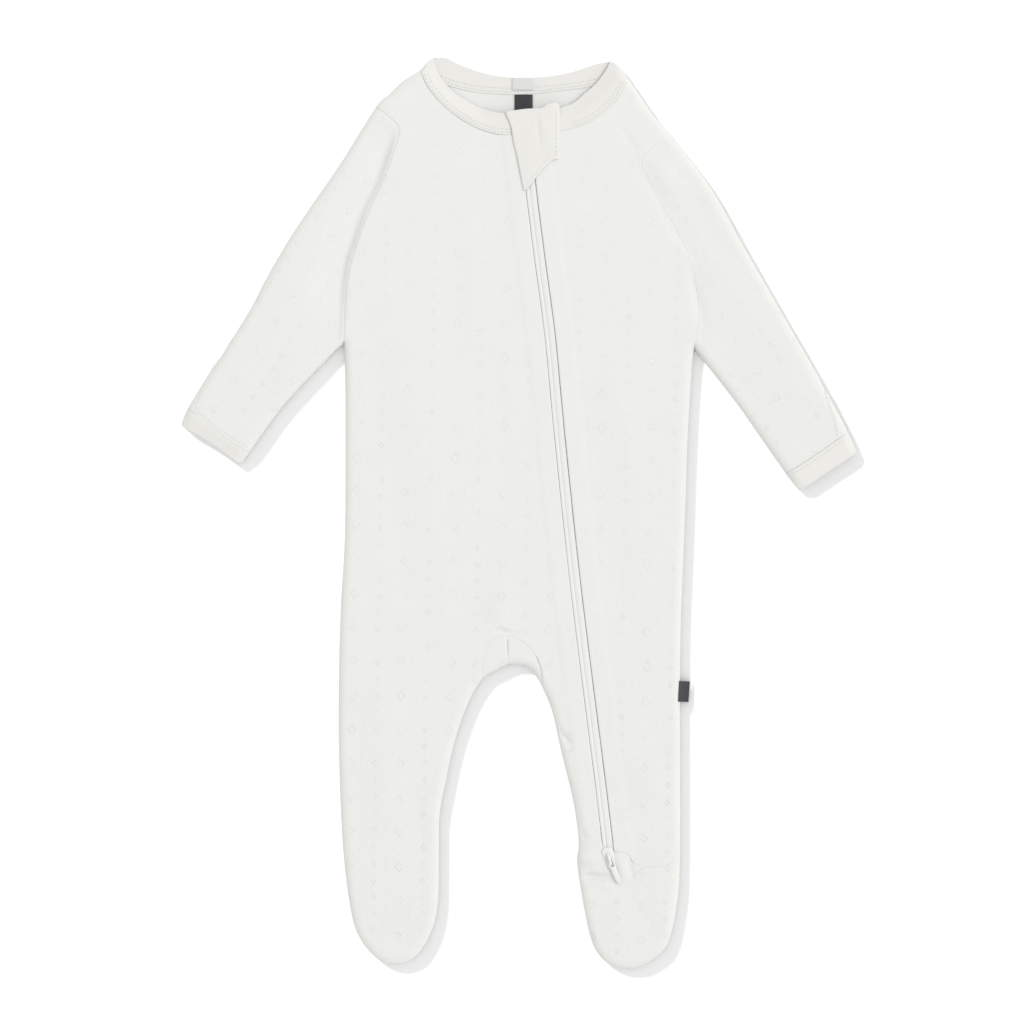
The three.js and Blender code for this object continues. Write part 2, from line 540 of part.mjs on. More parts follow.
// A panel's plan: its outline, rows of points along the rolled edges and folds, a loose grid
// between them, and the triangles that join them all
function planOf(names, layer, ringRuns = []) {
  const outline = outlineOf(names);
  const polygon = outline.map(({ p }) => p);
  const clearOf = (p) => nearestEdge(p, [[...polygon, polygon[0]]]).distance;
  const inner = [];
  const add = (p, fromEdge, apart) => {
    if (!insidePolygon(p, polygon) || clearOf(p) < fromEdge) return;
    if (inner.every((q) => q.distanceTo(p) > apart)) inner.push(p);
  };
  const lines = layer.edges.map(joined);
  for (const share of layer.shares) {
    const distance = share * layer.roll;
    for (const { p, touches } of outline) {
      if (touches) add(p.clone().addScaledVector(nearestEdge(p, lines).inward, distance), distance * 0.9,
        distance * 0.5);
    }
  }
  for (const name of ringRuns) {
    const { points } = runs[name];
    for (const distance of [3, -3, 7, -7]) {
      for (const p of beside(points, distance)) add(p, Math.abs(distance) * 0.8, 2.5);
    }
  }
  for (const fold of layer.folds) {
    const angle = THREE.MathUtils.degToRad(fold.angle);
    const along = new THREE.Vector2(Math.cos(angle), Math.sin(angle)).multiplyScalar(fold.length);
    const across = new THREE.Vector2(-Math.sin(angle), Math.cos(angle)).multiplyScalar(fold.width);
    for (const a of [-0.3, 0, 0.3]) {
      for (const c of [0, -1, 1]) {
        if (fold.width < 8) {
          add(new THREE.Vector2(fold.x, fold.y).addScaledVector(along, a).addScaledVector(across, c),
            2.5, fold.width * 0.9);
        }
      }
    }
  }
  const box = new THREE.Box2().setFromPoints(polygon);
  const rowStep = (layer.grid * Math.sqrt(3)) / 2;
  for (let row = 0, y = box.min.y; y < box.max.y; y += rowStep, row += 1) {
    for (let x = box.min.x + (row % 2) * (layer.grid / 2); x < box.max.x; x += layer.grid) {
      add(new THREE.Vector2(x, y), layer.grid * 0.45, layer.grid * 0.6);
    }
  }
  const nudge = 0.02;
  inner.forEach((p, i) => {
    p.x += nudge * Math.sin(i * 2.4);
    p.y += nudge * Math.cos(i * 3.7);
  });
  const points = [...polygon, ...inner];
  const edgeCount = polygon.length;
  const anticlockwise = THREE.ShapeUtils.area(polygon) > 0;
  const triangles = delaunay(points).filter((corners) => {
    const [a, b, c] = [...corners].sort((i, j) => i - j);
    const neighbours = c < edgeCount && (
      (b === a + 1 && c === b + 1) || (a === 0 && c === edgeCount - 1 && (b === 1 || b === c - 1)));
    if (neighbours) {
      const middle = b === a + 1 && c === b + 1 ? b : (b === 1 ? a : c);
      const p = points[(middle + edgeCount - 1) % edgeCount];
      const q = points[(middle + 1) % edgeCount];
      const turn = points[middle].clone().sub(p).cross(q.clone().sub(points[middle]));
      return anticlockwise ? turn > 0 : turn < 0;
    }
    const centre = points[a].clone().add(points[b]).add(points[c]).divideScalar(3);
    return insidePolygon(centre, polygon);
  });
  const sides = new Set(triangles.flatMap(([a, b, c]) => [`${a},${b}`, `${b},${c}`, `${c},${a}`]));
  polygon.forEach((p, a) => {
    const b = (a + 1) % edgeCount;
    if (!sides.has(`${a},${b}`) && !sides.has(`${b},${a}`)) {
      throw new Error(`outline of ${names[0]} is not followed near ${p.x.toFixed(1)}, ${p.y.toFixed(1)}`);
    }
  });
  return { points, triangles };
}

// A wall of cloth from one or more plans, each on its layer, joined where they meet at the silhouette
function clothWall(parts, wall) {
  const corners = new Map();
  const outer = [];
  const inner = [];
  const triangles = [];
  for (const { plan, layer } of parts) {
    const index = plan.points.map((p) => {
      const place = onLayer(p, layer);
      const key = place.outer.toArray().map((value) => Math.round(value * 1000)).join();
      if (!corners.has(key)) {
        corners.set(key, outer.length);
        outer.push(place.outer);
        inner.push(place.outer.clone().addScaledVector(place.normal, -wall));
      }
      return corners.get(key);
    });
    for (const [a, b, c] of plan.triangles) {
      triangles.push(layer.side > 0 ? [index[a], index[b], index[c]] : [index[c], index[b], index[a]]);
    }
  }
  const n = outer.length;
  const sides = new Set(triangles.flatMap(([a, b, c]) => [`${a},${b}`, `${b},${c}`, `${c},${a}`]));
  const faces = triangles.flatMap(([a, b, c]) => [a, b, c, c + n, b + n, a + n]);
  for (const side of sides) {
    const [a, b] = side.split(',').map(Number);
    if (!sides.has(`${b},${a}`)) faces.push(b, a, a + n, b, a + n, b + n);
  }
  return indexed([...outer, ...inner], faces);
}

function indexed(points, faces) {
  const geometry = new THREE.BufferGeometry().setFromPoints(points);
  geometry.setIndex(faces);
  geometry.computeVertexNormals();
  return geometry;
}

// A flat bar that follows a line: a strip between two offsets from it and two heights
function bar(centre, nearSide, farSide, low, high) {
  const left = beside(centre, farSide);
  const right = beside(centre, nearSide);
  const points = centre.flatMap((_, i) => [
    new THREE.Vector3(right[i].x, right[i].y, low), new THREE.Vector3(left[i].x, left[i].y, low),
    new THREE.Vector3(left[i].x, left[i].y, high), new THREE.Vector3(right[i].x, right[i].y, high),
  ]);
  const faces = [0, 2, 1, 0, 3, 2];
  for (let i = 0; i + 1 < centre.length; i += 1) {
    for (let k = 0; k < 4; k += 1) {
      const [a, b] = [4 * i + k, 4 * i + ((k + 1) % 4)];
      faces.push(a, b + 4, a + 4, a, b, b + 4);
    }
  }
  const end = 4 * (centre.length - 1);
  faces.push(end, end + 1, end + 2, end, end + 2, end + 3);
  return indexed(points, faces);
}

const group = new THREE.Group();
function place(name, geometry, material, parent = group) {
  const mesh = new THREE.Mesh(geometry, material);
  mesh.name = name;
  parent.add(mesh);
  return mesh;
}

// Body panels: half a seam gap keeps the front's rolled edge off the back's
const frontPanel = { ...front, seam: SEAM_HEIGHT + SEAM_GAP / 2 };
const backPanel = { ...back, seam: SEAM_HEIGHT - SEAM_GAP / 2 };
const panel = (names, layer, ringRuns) => [{ plan: planOf(names, layer, ringRuns), layer }];

place('back', clothWall(panel(['neckSeamBack', 'shoulderLeft', 'armholeLeft', '-sideLeft', '-heelLeft',
  '-innerLegLeft', '-gussetArchLeft', '-gussetArchRight', '-innerLegRight', '-heelRight', '-sideRight',
  '-armholeRight', '-shoulderRight'], backPanel), WALL), cloth);
place('front_right', clothWall(panel(['-neckSeamRight', 'shoulderRight', 'armholeRight', 'sideRight',
  'footRight', 'innerLegRight', 'gussetArchRight', 'gussetArchLeft', 'innerLegLeft', 'ankleInner',
  '-zipEdgeRight'], frontPanel, ['armholeRight']), WALL), cloth);
place('front_left', clothWall(panel(['neckSeamLeft', 'zipEdgeLeft', 'ankleOuter', 'sideLeft',
  '-armholeLeft', '-shoulderLeft'], frontPanel, ['armholeLeft']), WALL), cloth);
place('foot_left', clothWall(panel(['footLeft', '-ankleOuter', '-footBesideZip', '-ankleInner'],
  frontPanel), WALL), cloth);
place('sole_right', clothWall(panel(['footRight', '-heelRight'], backPanel), WALL), cloth);
place('sole_left', clothWall(panel(['footLeft', '-heelLeft'], backPanel), WALL), cloth);

// Pieces that wrap the silhouette: the same plan on both layers, joined along the fold
function wrapped(names, raise, wall, edges = GARMENT_EDGES, ringRuns = []) {
  const over = { ...front, raise, edges };
  const under = { ...back, edges };
  const plan = planOf(names, over, ringRuns);
  return clothWall([{ plan, layer: over }, { plan, layer: under }], wall);
}

place('gusset_right', wrapped(['gussetArchRight', 'gussetCentre', '-crotchRight'], 0, WALL), cloth);
place('gusset_left', wrapped(['gussetArchLeft', '-crotchLeft', '-gussetCentre'], 0, WALL), cloth);
for (const side of ['Right', 'Left']) {
  const name = side.toLowerCase();
  place(`sleeve_${name}`, wrapped([`armhole${side}`, side === 'Right' ? '-underarmRight' : 'underarmLeft',
    `-sleeveHem${side}`, `-mittenUnder${side}`, `-sleeveEdge${side}`], 0, WALL, SLEEVE_EDGES,
  [`armhole${side}`]), cloth);
  place(`cuff_${name}`, wrapped([`cuffSeam${side}`, side === 'Right' ? '-cuffUnderRight' : 'cuffUnderLeft',
    `-cuffEnd${side}`, `-cuffEdge${side}`], BAND_RAISE, BAND_WALL), binding);
  const mitten = { ...front, top: LAID_HEIGHT + LYING_GAP + MITTEN_WALL, folds: FOLDS };
  place(`mitten_${name}`, clothWall(panel([`mittenRim${side}`, `-mittenHem${side}`,
    `-mittenLine${side}`], mitten), MITTEN_WALL), cloth);
}

// The neckband is one strip: front halves over the back, joined at the two shoulder folds
const bandOver = { ...front, raise: BAND_RAISE };
const bandUnder = { ...back };
place('neckband', clothWall([
  ...panel(['bandFoldRight', 'neckSeamRight', 'bandEndRight', '-neckEdgeRight'], bandOver),
  ...panel(['bandFoldLeft', 'neckSeamLeft', 'bandEndLeft', '-neckEdgeLeft'], bandOver),
  ...panel(['bandFoldRight', 'neckSeamBack', '-bandFoldLeft', '-neckEdgeBack'], bandUnder),
], BAND_WALL), binding);

// Zip: the tapes lie under the fronts and the coil stands between them, down to the slider
const tapeTop = LAID_HEIGHT - WALL - LYING_GAP;
const tapeSide = COIL_WIDTH / 2 + SEAM_GAP;
place('zip_tape_right', bar(zipCentre, -TAPE_REACH, -tapeSide, tapeTop - TAPE_WALL, tapeTop), zipTape);
place('zip_tape_left', bar(zipCentre, tapeSide, TAPE_REACH, tapeTop - TAPE_WALL, tapeTop), zipTape);
place('zip_coil', bar(zipCentre, -COIL_WIDTH / 2, COIL_WIDTH / 2, tapeTop - TAPE_WALL / 2,
  tapeTop - TAPE_WALL / 2 + COIL_HEIGHT), zipCoil);

// Fold-over guard on the band and the fronts, round the top of the zip
const guardLayer = { ...front, folds: GUARD_FOLDS, roll: 1,
  top: LAID_HEIGHT + BAND_RAISE + LYING_GAP + GUARD_WALL };
runs.guard = { ...FREE, points: [...GUARD_OUTLINE, GUARD_OUTLINE[0]].map(vector) };
place('zip_guard', clothWall(panel(['guard'], guardLayer), GUARD_WALL), binding);

// Labels: woven loops at the back of the neck, and a tab in the wearer's left side seam
const labelPlate = ({ width, height, x, y }, low) => (
  new THREE.BoxGeometry(width, height, LABEL_WALL).translate(x, y, low + LABEL_WALL / 2)
);
place('label_size', labelPlate(LABEL_SIZE, BAND_WALL + LYING_GAP), greyLabel);
place('label_neck', labelPlate(LABEL_NECK, WALL + LYING_GAP), blackLabel);
const sideTab = new THREE.BoxGeometry(LABEL_SIDE.width, LABEL_SIDE.height, LABEL_WALL);
const sideLabel = place('label_side', sideTab, blackLabel);
sideLabel.position.set(...LABEL_SIDE.place);
sideLabel.rotation.y = THREE.MathUtils.degToRad(LABEL_SIDE.lean);
sideLabel.rotation.z = THREE.MathUtils.degToRad(LABEL_SIDE.turn);

// Zip slider and its pull

const solidOf = (geometry) => {
  const bare = geometry.index ? geometry.toNonIndexed() : geometry.clone();
  bare.deleteAttribute('normal');
  bare.deleteAttribute('uv');
  const merged = mergeVertices(bare, 1e-4);
  return new wasm.Manifold(new wasm.Mesh({
    numProp: 3,
    vertProperties: new Float32Array(merged.attributes.position.array),
    triVerts: new Uint32Array(merged.index.array),
  }));
};
function fused(geometries) {
  const whole = geometries.map(solidOf).reduce((sum, next) => sum.add(next));
  const mesh = whole.getMesh();
  const geometry = new THREE.BufferGeometry();
  geometry.setAttribute('position', new THREE.BufferAttribute(new Float32Array(mesh.vertProperties), 3));
  geometry.setIndex(Array.from(mesh.triVerts));
  geometry.computeVertexNormals();
  return geometry;
}
const block = (width, length, height, x, y, low) => (
  new THREE.BoxGeometry(width, length, height).translate(x, y, low + height / 2)
);

// A plate with rounded ends, wider at one end than at the other
function plate(topWidth, endWidth, length, low, thickness) {
  const shape = new THREE.Shape();
  shape.moveTo(-topWidth / 2, length / 2 - topWidth / 4);
  shape.quadraticCurveTo(-topWidth / 2, length / 2, 0, length / 2);
  shape.quadraticCurveTo(topWidth / 2, length / 2, topWidth / 2, length / 2 - topWidth / 4);
  shape.lineTo(endWidth / 2, -length / 2 + endWidth / 4);
  shape.quadraticCurveTo(endWidth / 2, -length / 2, 0, -length / 2);
  shape.quadraticCurveTo(-endWidth / 2, -length / 2, -endWidth / 2, -length / 2 + endWidth / 4);
  shape.closePath();
  return new THREE.ExtrudeGeometry(shape, { depth: thickness, bevelEnabled: false, curveSegments: 5 })
    .translate(0, 0, low);
}

const sliderGroup = new THREE.Group();
sliderGroup.position.set(...SLIDER_PLACE);
sliderGroup.rotation.z = SLIDER_TURN;
group.add(sliderGroup);

// Two plates round the coil, joined by a post, with a bridge on top that holds the pull.
// Parts of one piece run into one another by the bite.
const bite = 0.1;
const lowerPlate = 1.6;
const upperPlate = LAID_HEIGHT + LYING_GAP;
const plateWall = 0.8;
const plateTop = upperPlate + plateWall;
const plateEnd = SLIDER_WIDTH * 0.72;
const post = { width: 2, length: 3, fromEnd: 3 };
const bridge = { width: 1.8, length: 7, wall: 0.8, foot: 1.2, y: -1.2 };
const wireHeight = plateTop + 1.3;
const bridgeTop = wireHeight + PULL_WIRE / 2 + LYING_GAP + bridge.wall;
const bridgeEnd = (bridge.length + bridge.foot) / 2;
const bridgeInside = bridgeEnd - bridge.foot;
const bridgeSideView = new THREE.Shape([[-bridgeEnd, plateTop - bite], [-bridgeInside, plateTop - bite],
  [-bridgeInside, bridgeTop - bridge.wall], [bridgeInside, bridgeTop - bridge.wall],
  [bridgeInside, plateTop - bite], [bridgeEnd, plateTop - bite], [bridgeEnd, bridgeTop],
  [-bridgeEnd, bridgeTop]].map(vector));
place('zip_slider', fused([
  plate(SLIDER_WIDTH, plateEnd, SLIDER_LENGTH, upperPlate, plateWall),
  plate(SLIDER_WIDTH, plateEnd, SLIDER_LENGTH, lowerPlate, plateWall),
  block(post.width, post.length, upperPlate - lowerPlate - plateWall + 2 * bite,
    0, SLIDER_LENGTH / 2 - post.fromEnd, lowerPlate + plateWall - bite),
  new THREE.ExtrudeGeometry(bridgeSideView, { depth: bridge.width, bevelEnabled: false })
    .rotateX(Math.PI / 2).rotateZ(Math.PI / 2).translate(-bridge.width / 2, bridge.y, 0),
]), coatedMetal, sliderGroup);

// The pull hangs from a wire through the bridge and lies on the foot, its tip lower than the wire
const pullDrop = 1.2;
const armPlay = 0.8;
const armGap = bridge.width + armPlay;
const armWidth = (PULL_WIDTH - armGap) / 2;
const tabStart = bridge.length / 2 + 1.8;
const tabBite = 0.4;
const pull = new THREE.Group();
pull.position.set(0, bridge.y, wireHeight);
pull.rotation.x = Math.atan2(pullDrop, PULL_LENGTH);
sliderGroup.add(pull);
const pullArm = (side) => block(armWidth, tabStart + PULL_WIRE, PULL_WIRE,
  side * (armGap + armWidth) / 2, -tabStart / 2, -PULL_WIRE / 2);
place('zip_pull', fused([
  new THREE.CylinderGeometry(PULL_WIRE / 2, PULL_WIRE / 2, PULL_WIDTH - armWidth, 10).rotateZ(Math.PI / 2),
  pullArm(1),
  pullArm(-1),
  plate(PULL_WIDTH, PULL_WIDTH * 0.9, PULL_LENGTH - tabStart, -PULL_WIRE / 2, PULL_WIRE)
    .translate(0, -(PULL_LENGTH + tabStart) / 2 + tabBite, 0),
]), coatedMetal, pull);

// The origin is under the middle of the whole garment, on the table
const extent = new THREE.Box3().setFromObject(group, true);
const middle = extent.getCenter(new THREE.Vector3());
group.position.set(-middle.x, -middle.y, 0);

export default group;
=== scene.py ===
import bpy
import numpy as np
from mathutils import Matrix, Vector
from mathutils.geometry import delaunay_2d_cdt


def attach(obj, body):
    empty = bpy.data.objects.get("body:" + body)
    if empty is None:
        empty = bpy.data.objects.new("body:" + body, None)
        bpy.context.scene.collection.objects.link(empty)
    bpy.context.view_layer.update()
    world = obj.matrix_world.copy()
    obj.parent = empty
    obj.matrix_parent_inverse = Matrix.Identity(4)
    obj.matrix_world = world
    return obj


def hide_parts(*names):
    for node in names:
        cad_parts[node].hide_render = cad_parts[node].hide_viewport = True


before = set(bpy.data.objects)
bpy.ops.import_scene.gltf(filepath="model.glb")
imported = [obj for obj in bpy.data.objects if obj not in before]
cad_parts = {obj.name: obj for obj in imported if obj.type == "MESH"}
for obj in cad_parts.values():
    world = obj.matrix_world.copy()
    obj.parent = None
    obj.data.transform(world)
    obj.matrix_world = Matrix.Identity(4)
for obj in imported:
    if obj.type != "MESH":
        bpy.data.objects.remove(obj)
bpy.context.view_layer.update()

# Back panel
# One piece of fine pointelle jersey from the neck seam to the heels, both legs cut in one with the
# body. It lies flat on the table, and turns up all round into the seams that join it to the front.

MM = 0.001

# The silhouette in millimetres, seen from above: x, y, and the name of the run that starts there
RIGHT_UPPER_EDGE = [
    (-52.7, 281.8, "band_fold_right"), (-57.5, 278.3), (-61.4, 273.7, "shoulder_right"), (-72, 267),
    (-80.5, 258.8), (-88.7, 250.8, "sleeve_edge_right"), (-111, 215.5), (-139, 174.5), (-156.5, 145),
    (-166, 126.5), (-180, 104, "mitten_edge_right"), (-192, 86), (-205.4, 63.8, "cuff_edge_right"),
    (-209.2, 54.4)]
LEFT_UPPER_EDGE = [
    (56.4, 279.3, "band_fold_left"), (62, 276.4), (67.8, 268.5, "shoulder_left"), (76, 256.5),
    (83.7, 245.5), (92.4, 235.3, "sleeve_edge_left"), (117.8, 202.4), (138.9, 165.2), (161.2, 126.2),
    (184.8, 85.3, "mitten_edge_left"), (194.5, 67.5), (203.8, 49.4, "cuff_edge_left"), (209, 38.4)]
RIGHT_LOWER_EDGE = [
    (-171.5, 31, "cuff_under_right"), (-167.4, 36.5, "underarm_right"), (-145.7, 66.3), (-116.6, 97),
    (-108.4, 104.4)]
BODY_EDGE = [
    (-108.4, 104.4, "side_right"), (-107.6, 70), (-107.9, -11.5), (-110.4, -58), (-111.6, -100),
    (-111.6, -151), (-109.2, -207, "foot_right"), (-104.8, -244), (-99.5, -262.6), (-88.5, -276.5),
    (-76.5, -280.4), (-64, -275.5), (-54.5, -260.5), (-50.2, -241), (-49.6, -209, "inner_leg_right"),
    (-49.2, -188), (-45.9, -169.6), (-39.7, -141.7), (-31.2, -118), (-22.9, -103.9, "crotch_right"),
    (-14.6, -98.6), (-6.6, -94.9, "crotch_left"), (1.6, -94.9), (8.4, -98.9),
    (14.2, -108.4, "inner_leg_left"), (20.6, -124), (26.7, -151), (33.5, -178.9), (37, -204),
    (36, -216.1, "foot_left"), (38.4, -234.7), (44, -262.6), (50.3, -275.6), (60, -282), (72, -282.6),
    (83, -277.4), (92, -267.8), (97.3, -247), (99.8, -214.2, "side_left"), (99.8, -116.9),
    (100.4, -67.3), (102.6, -11.5), (104.8, 50.5), (107.2, 89), (108.5, 101.6)]
LEFT_LOWER_EDGE = [
    (108.5, 101.6, "underarm_left"), (116.5, 91), (136.2, 65.4), (165.4, 23.7, "cuff_under_left"),
    (174, 13.2)]

LINE_STEP = 1.6


def smooth_line(points, first=0, last=None):
    """The stretch of a smooth line between two of its points, in even steps. Each span is a cubic whose
    slope at a point is half the chord between that point's neighbours."""
    p = np.asarray(points, float)
    last = len(p) - 1 if last is None else last
    span = np.arange(first, last)
    before, start, end, after = (p[np.clip(span + k, 0, len(p) - 1)][:, None] for k in (-1, 0, 1, 2))
    out, into = (end - before) / 2, (after - start) / 2
    t = np.linspace(0, 1, 33)[None, :, None]
    fine = (start + out * t + (3 * end - 3 * start - 2 * out - into) * t**2
            + (2 * start - 2 * end + out + into) * t**3).reshape(-1, 2)
    run = np.concatenate([[0], np.cumsum(np.linalg.norm(np.diff(fine, axis=0), axis=1))])
    stations = np.linspace(0, run[-1], max(2, int(np.ceil(run[-1] / LINE_STEP)) + 1))
    return np.stack([np.interp(stations, run, fine[:, k]) for k in (0, 1)], axis=1)


line = {}
for edge in (RIGHT_UPPER_EDGE, LEFT_UPPER_EDGE, RIGHT_LOWER_EDGE, BODY_EDGE, LEFT_LOWER_EDGE):
    starts = [i for i, row in enumerate(edge) if len(row) > 2] + [len(edge) - 1]
    for first, last in zip(starts, starts[1:]):
        line[edge[first][2]] = smooth_line([row[:2] for row in edge], first, last)


def along(*names):
    """The named runs end to end. A minus sign before a name takes that run backwards."""
    runs = [line[name[1:]][::-1] if name[0] == "-" else line[name] for name in names]
    return np.vstack([run[:-1] for run in runs] + [runs[-1][-1:]])


silhouette = [
    along("band_fold_right", "shoulder_right", "sleeve_edge_right", "mitten_edge_right", "cuff_edge_right"),
    along("band_fold_left", "shoulder_left", "sleeve_edge_left", "mitten_edge_left", "cuff_edge_left"),
    along("cuff_under_right", "underarm_right", "side_right", "foot_right", "inner_leg_right",
          "crotch_right", "crotch_left", "inner_leg_left", "foot_left", "side_left", "underarm_left",
          "cuff_under_left")]
ends = np.vstack(silhouette)
middle = (ends.min(axis=0) + ends.max(axis=0)) / 2

line["neck_seam_back"] = smooth_line([(-61.4, 273.7), (-50, 267), (-38, 262.8), (-25.4, 260.3), (-5.6, 259),
                                      (8.7, 259.5), (30.4, 261.8), (46, 264.2), (57, 266.6), (67.8, 268.5)])
line["armhole_right"] = smooth_line([(-88.7, 250.8), (-80.8, 244.6), (-74.6, 237.4), (-76.4, 227),
                                     (-83.7, 206.8), (-91.1, 191), (-101, 165.2), (-106.4, 143.5),
                                     (-108.1, 122), (-108.4, 104.4)])
line["armhole_left"] = smooth_line([(92.4, 235.3), (83.4, 226.6), (75.8, 217), (79.4, 207), (86.9, 192),
                                    (97, 175), (105, 158), (110, 136), (110.9, 118), (108.5, 101.6)])
GUSSET_ARCH = [(-22.9, -103.9), (-22.3, -92.1), (-19.8, -83.4), (-15.4, -77.9), (-7.4, -76.3),
               (1.4, -79.9), (9, -87.2), (13.4, -97.4), (14.2, -108.4)]
line["arch_right"] = smooth_line(GUSSET_ARCH, 0, 4)
line["arch_left"] = smooth_line(GUSSET_ARCH, 4, 8)
line["heel_right"] = smooth_line([(-109.2, -207), (-95, -213), (-80, -215), (-64, -213.5), (-49.6, -209)])
line["heel_left"] = smooth_line([(36, -216.1), (50, -220), (68, -221.5), (86, -219.6), (99.8, -214.2)])


def distance_to(points, lines):
    """How far each point is from the nearest of the lines, all pairs of point and step in one array."""
    start = np.vstack([each[:-1] for each in lines])
    step = np.vstack([np.diff(each, axis=0) for each in lines])
    length = (step**2).sum(axis=1)
    nearest = np.empty(len(points))
    for some in np.array_split(np.arange(len(points)), 1 + len(points) * len(start) // 3_000_000):
        to = points[some][:, None] - start
        share = np.clip((to * step).sum(axis=2) / length, 0, 1)
        nearest[some] = np.sqrt(((to - share[..., None] * step)**2).sum(axis=2).min(axis=1))
    return nearest


def is_inside(points, outline):
    """Whether each point is inside a closed outline: a line from it to the right crosses it an odd
    number of times."""
    a, b = outline, np.roll(outline, -1, axis=0)
    inside = np.empty(len(points), bool)
    for some in np.array_split(np.arange(len(points)), 1 + len(points) * len(a) // 3_000_000):
        x, y = points[some][:, :1], points[some][:, 1:]
        crosses = (a[:, 1] > y) != (b[:, 1] > y)
        rise = np.where(b[:, 1] == a[:, 1], 1, b[:, 1] - a[:, 1])
        to_the_left = x < a[:, 0] + (b[:, 0] - a[:, 0]) * (y - a[:, 1]) / rise
        inside[some] = (crosses & to_the_left).sum(axis=1) % 2 == 1
    return inside


EDGE_ROWS = (0.12, 0.4, 0.85, 1.5, 2.4, 3.6, 5.0)


def pattern(outline, grid, rows=EDGE_ROWS):
    """A piece's flat pattern as points and triangles: its outline, rows beside it that lie closer
    towards the edge, and an even grid of points in staggered rows between them."""
    outline = outline[:-1]
    following = np.roll(outline, -1, axis=0)
    area = (outline[:, 0] * following[:, 1] - following[:, 0] * outline[:, 1]).sum() / 2
    outline = outline[::int(np.sign(area))]
    tangent = np.roll(outline, -1, axis=0) - np.roll(outline, 1, axis=0)
    inward = np.stack([-tangent[:, 1], tangent[:, 0]], axis=1)
    inward /= np.linalg.norm(inward, axis=1)[:, None]
    closed = [np.vstack([outline, outline[:1]])]
    points = [outline]
    for row in rows:
        beside = outline + inward * row
        beside = beside[is_inside(beside, outline)]
        points.append(beside[distance_to(beside, closed) > 0.93 * row])
    low, high = outline.min(axis=0), outline.max(axis=0)
    y, x = np.mgrid[low[1]:high[1]:grid * 0.866, low[0]:high[0]:grid]
    x[1::2] += grid / 2
    spread = np.stack([x.ravel(), y.ravel()], axis=1)
    spread = spread[is_inside(spread, outline)]
    points.append(spread[distance_to(spread, closed) > rows[-1] + grid * 0.5])
    flat = np.vstack(points)
    found = delaunay_2d_cdt(flat.tolist(), [], [list(range(len(outline)))], 1, 1e-4)
    return np.array([tuple(p) for p in found[0]]), np.array(found[2])


# Where the cloth lies: heights in millimetres above the table, and how wide it rolls at its edges
LAID_TOP = 6.0
SEAM_FRONT = 2.55
SEAM_BACK = 2.25
ROLL_FRONT = 5.2
ROLL_BACK = 3.0
CLOTH = 1.0


def fold_height(points, folds):
    """Soft ridges and troughs, as x, y, angle in degrees, length, half-width and height. Each is a bell
    across its line, shifted by a slight bend, and fades to nothing at both ends."""
    height = np.zeros(len(points))
    for x, y, angle, length, width, tall in folds:
        direction = np.array([np.cos(np.radians(angle)), np.sin(np.radians(angle))])
        to = points - (x, y)
        run = to @ direction / (length / 2)
        side = (to @ (-direction[1], direction[0]) - 0.35 * width * np.sin(3 * run)) / width
        height += tall * np.clip(1 - run**2, 0, 1)**2 * np.exp(-side**2)
    return height


def laid_height(points, top, seam, roll, folds=(), rounded=(), edges=silhouette):
    """Height of a layer of cloth: level at its top, down to the seam in a quarter of an ellipse where it
    rolls round the silhouette, with folds that fade out there. Along each rounded line, given with its
    depth and width, it turns down in a quarter of an ellipse too."""
    from_edge = distance_to(points, edges)
    from_edge[from_edge < 1e-3] = 0
    height = seam + (top - seam) * np.sqrt(1 - np.clip(1 - from_edge / roll, 0, 1)**2)
    fade = np.clip(from_edge / 5, 0, 1)
    height += fade**2 * (3 - 2 * fade) * fold_height(points, folds)
    for lines, depth, width in rounded:
        turned = np.sqrt(1 - np.clip(1 - distance_to(points, lines) / width, 0, 1)**2)
        height -= depth * (1 - turned) * np.clip(from_edge / 3, 0, 1)
    return height


# Creases pressed into the back from below, all of them lifted off the table: x, y, angle, length,
# half-width and height in millimetres
BACK_FOLDS = [
    (-70, 150, 74, 120, 6, 0.7), (-48, 60, 96, 150, 8, 0.5), (-20, 190, 84, 90, 5, 0.5),
    (38, 120, 80, 170, 8, 0.6), (74, 20, 97, 130, 6, 0.7), (10, -20, 62, 90, 7, 0.6),
    (-78, -70, 82, 140, 7, 0.7), (-64, -170, 95, 90, 5, 0.5), (62, -90, 88, 120, 6, 0.6),
    (78, -180, 80, 70, 5, 0.5), (0, 226, 12, 90, 5, 0.5), (-6, -58, 8, 50, 4, 0.6)]


def cloth_skin(outline, grid, height, facing=1):
    """A skin over a flat pattern at the height given for its points, facing up or down."""
    flat, triangles = pattern(outline, grid)
    skin = np.column_stack([flat, height(flat)])
    return skin, triangles[:, ::facing]


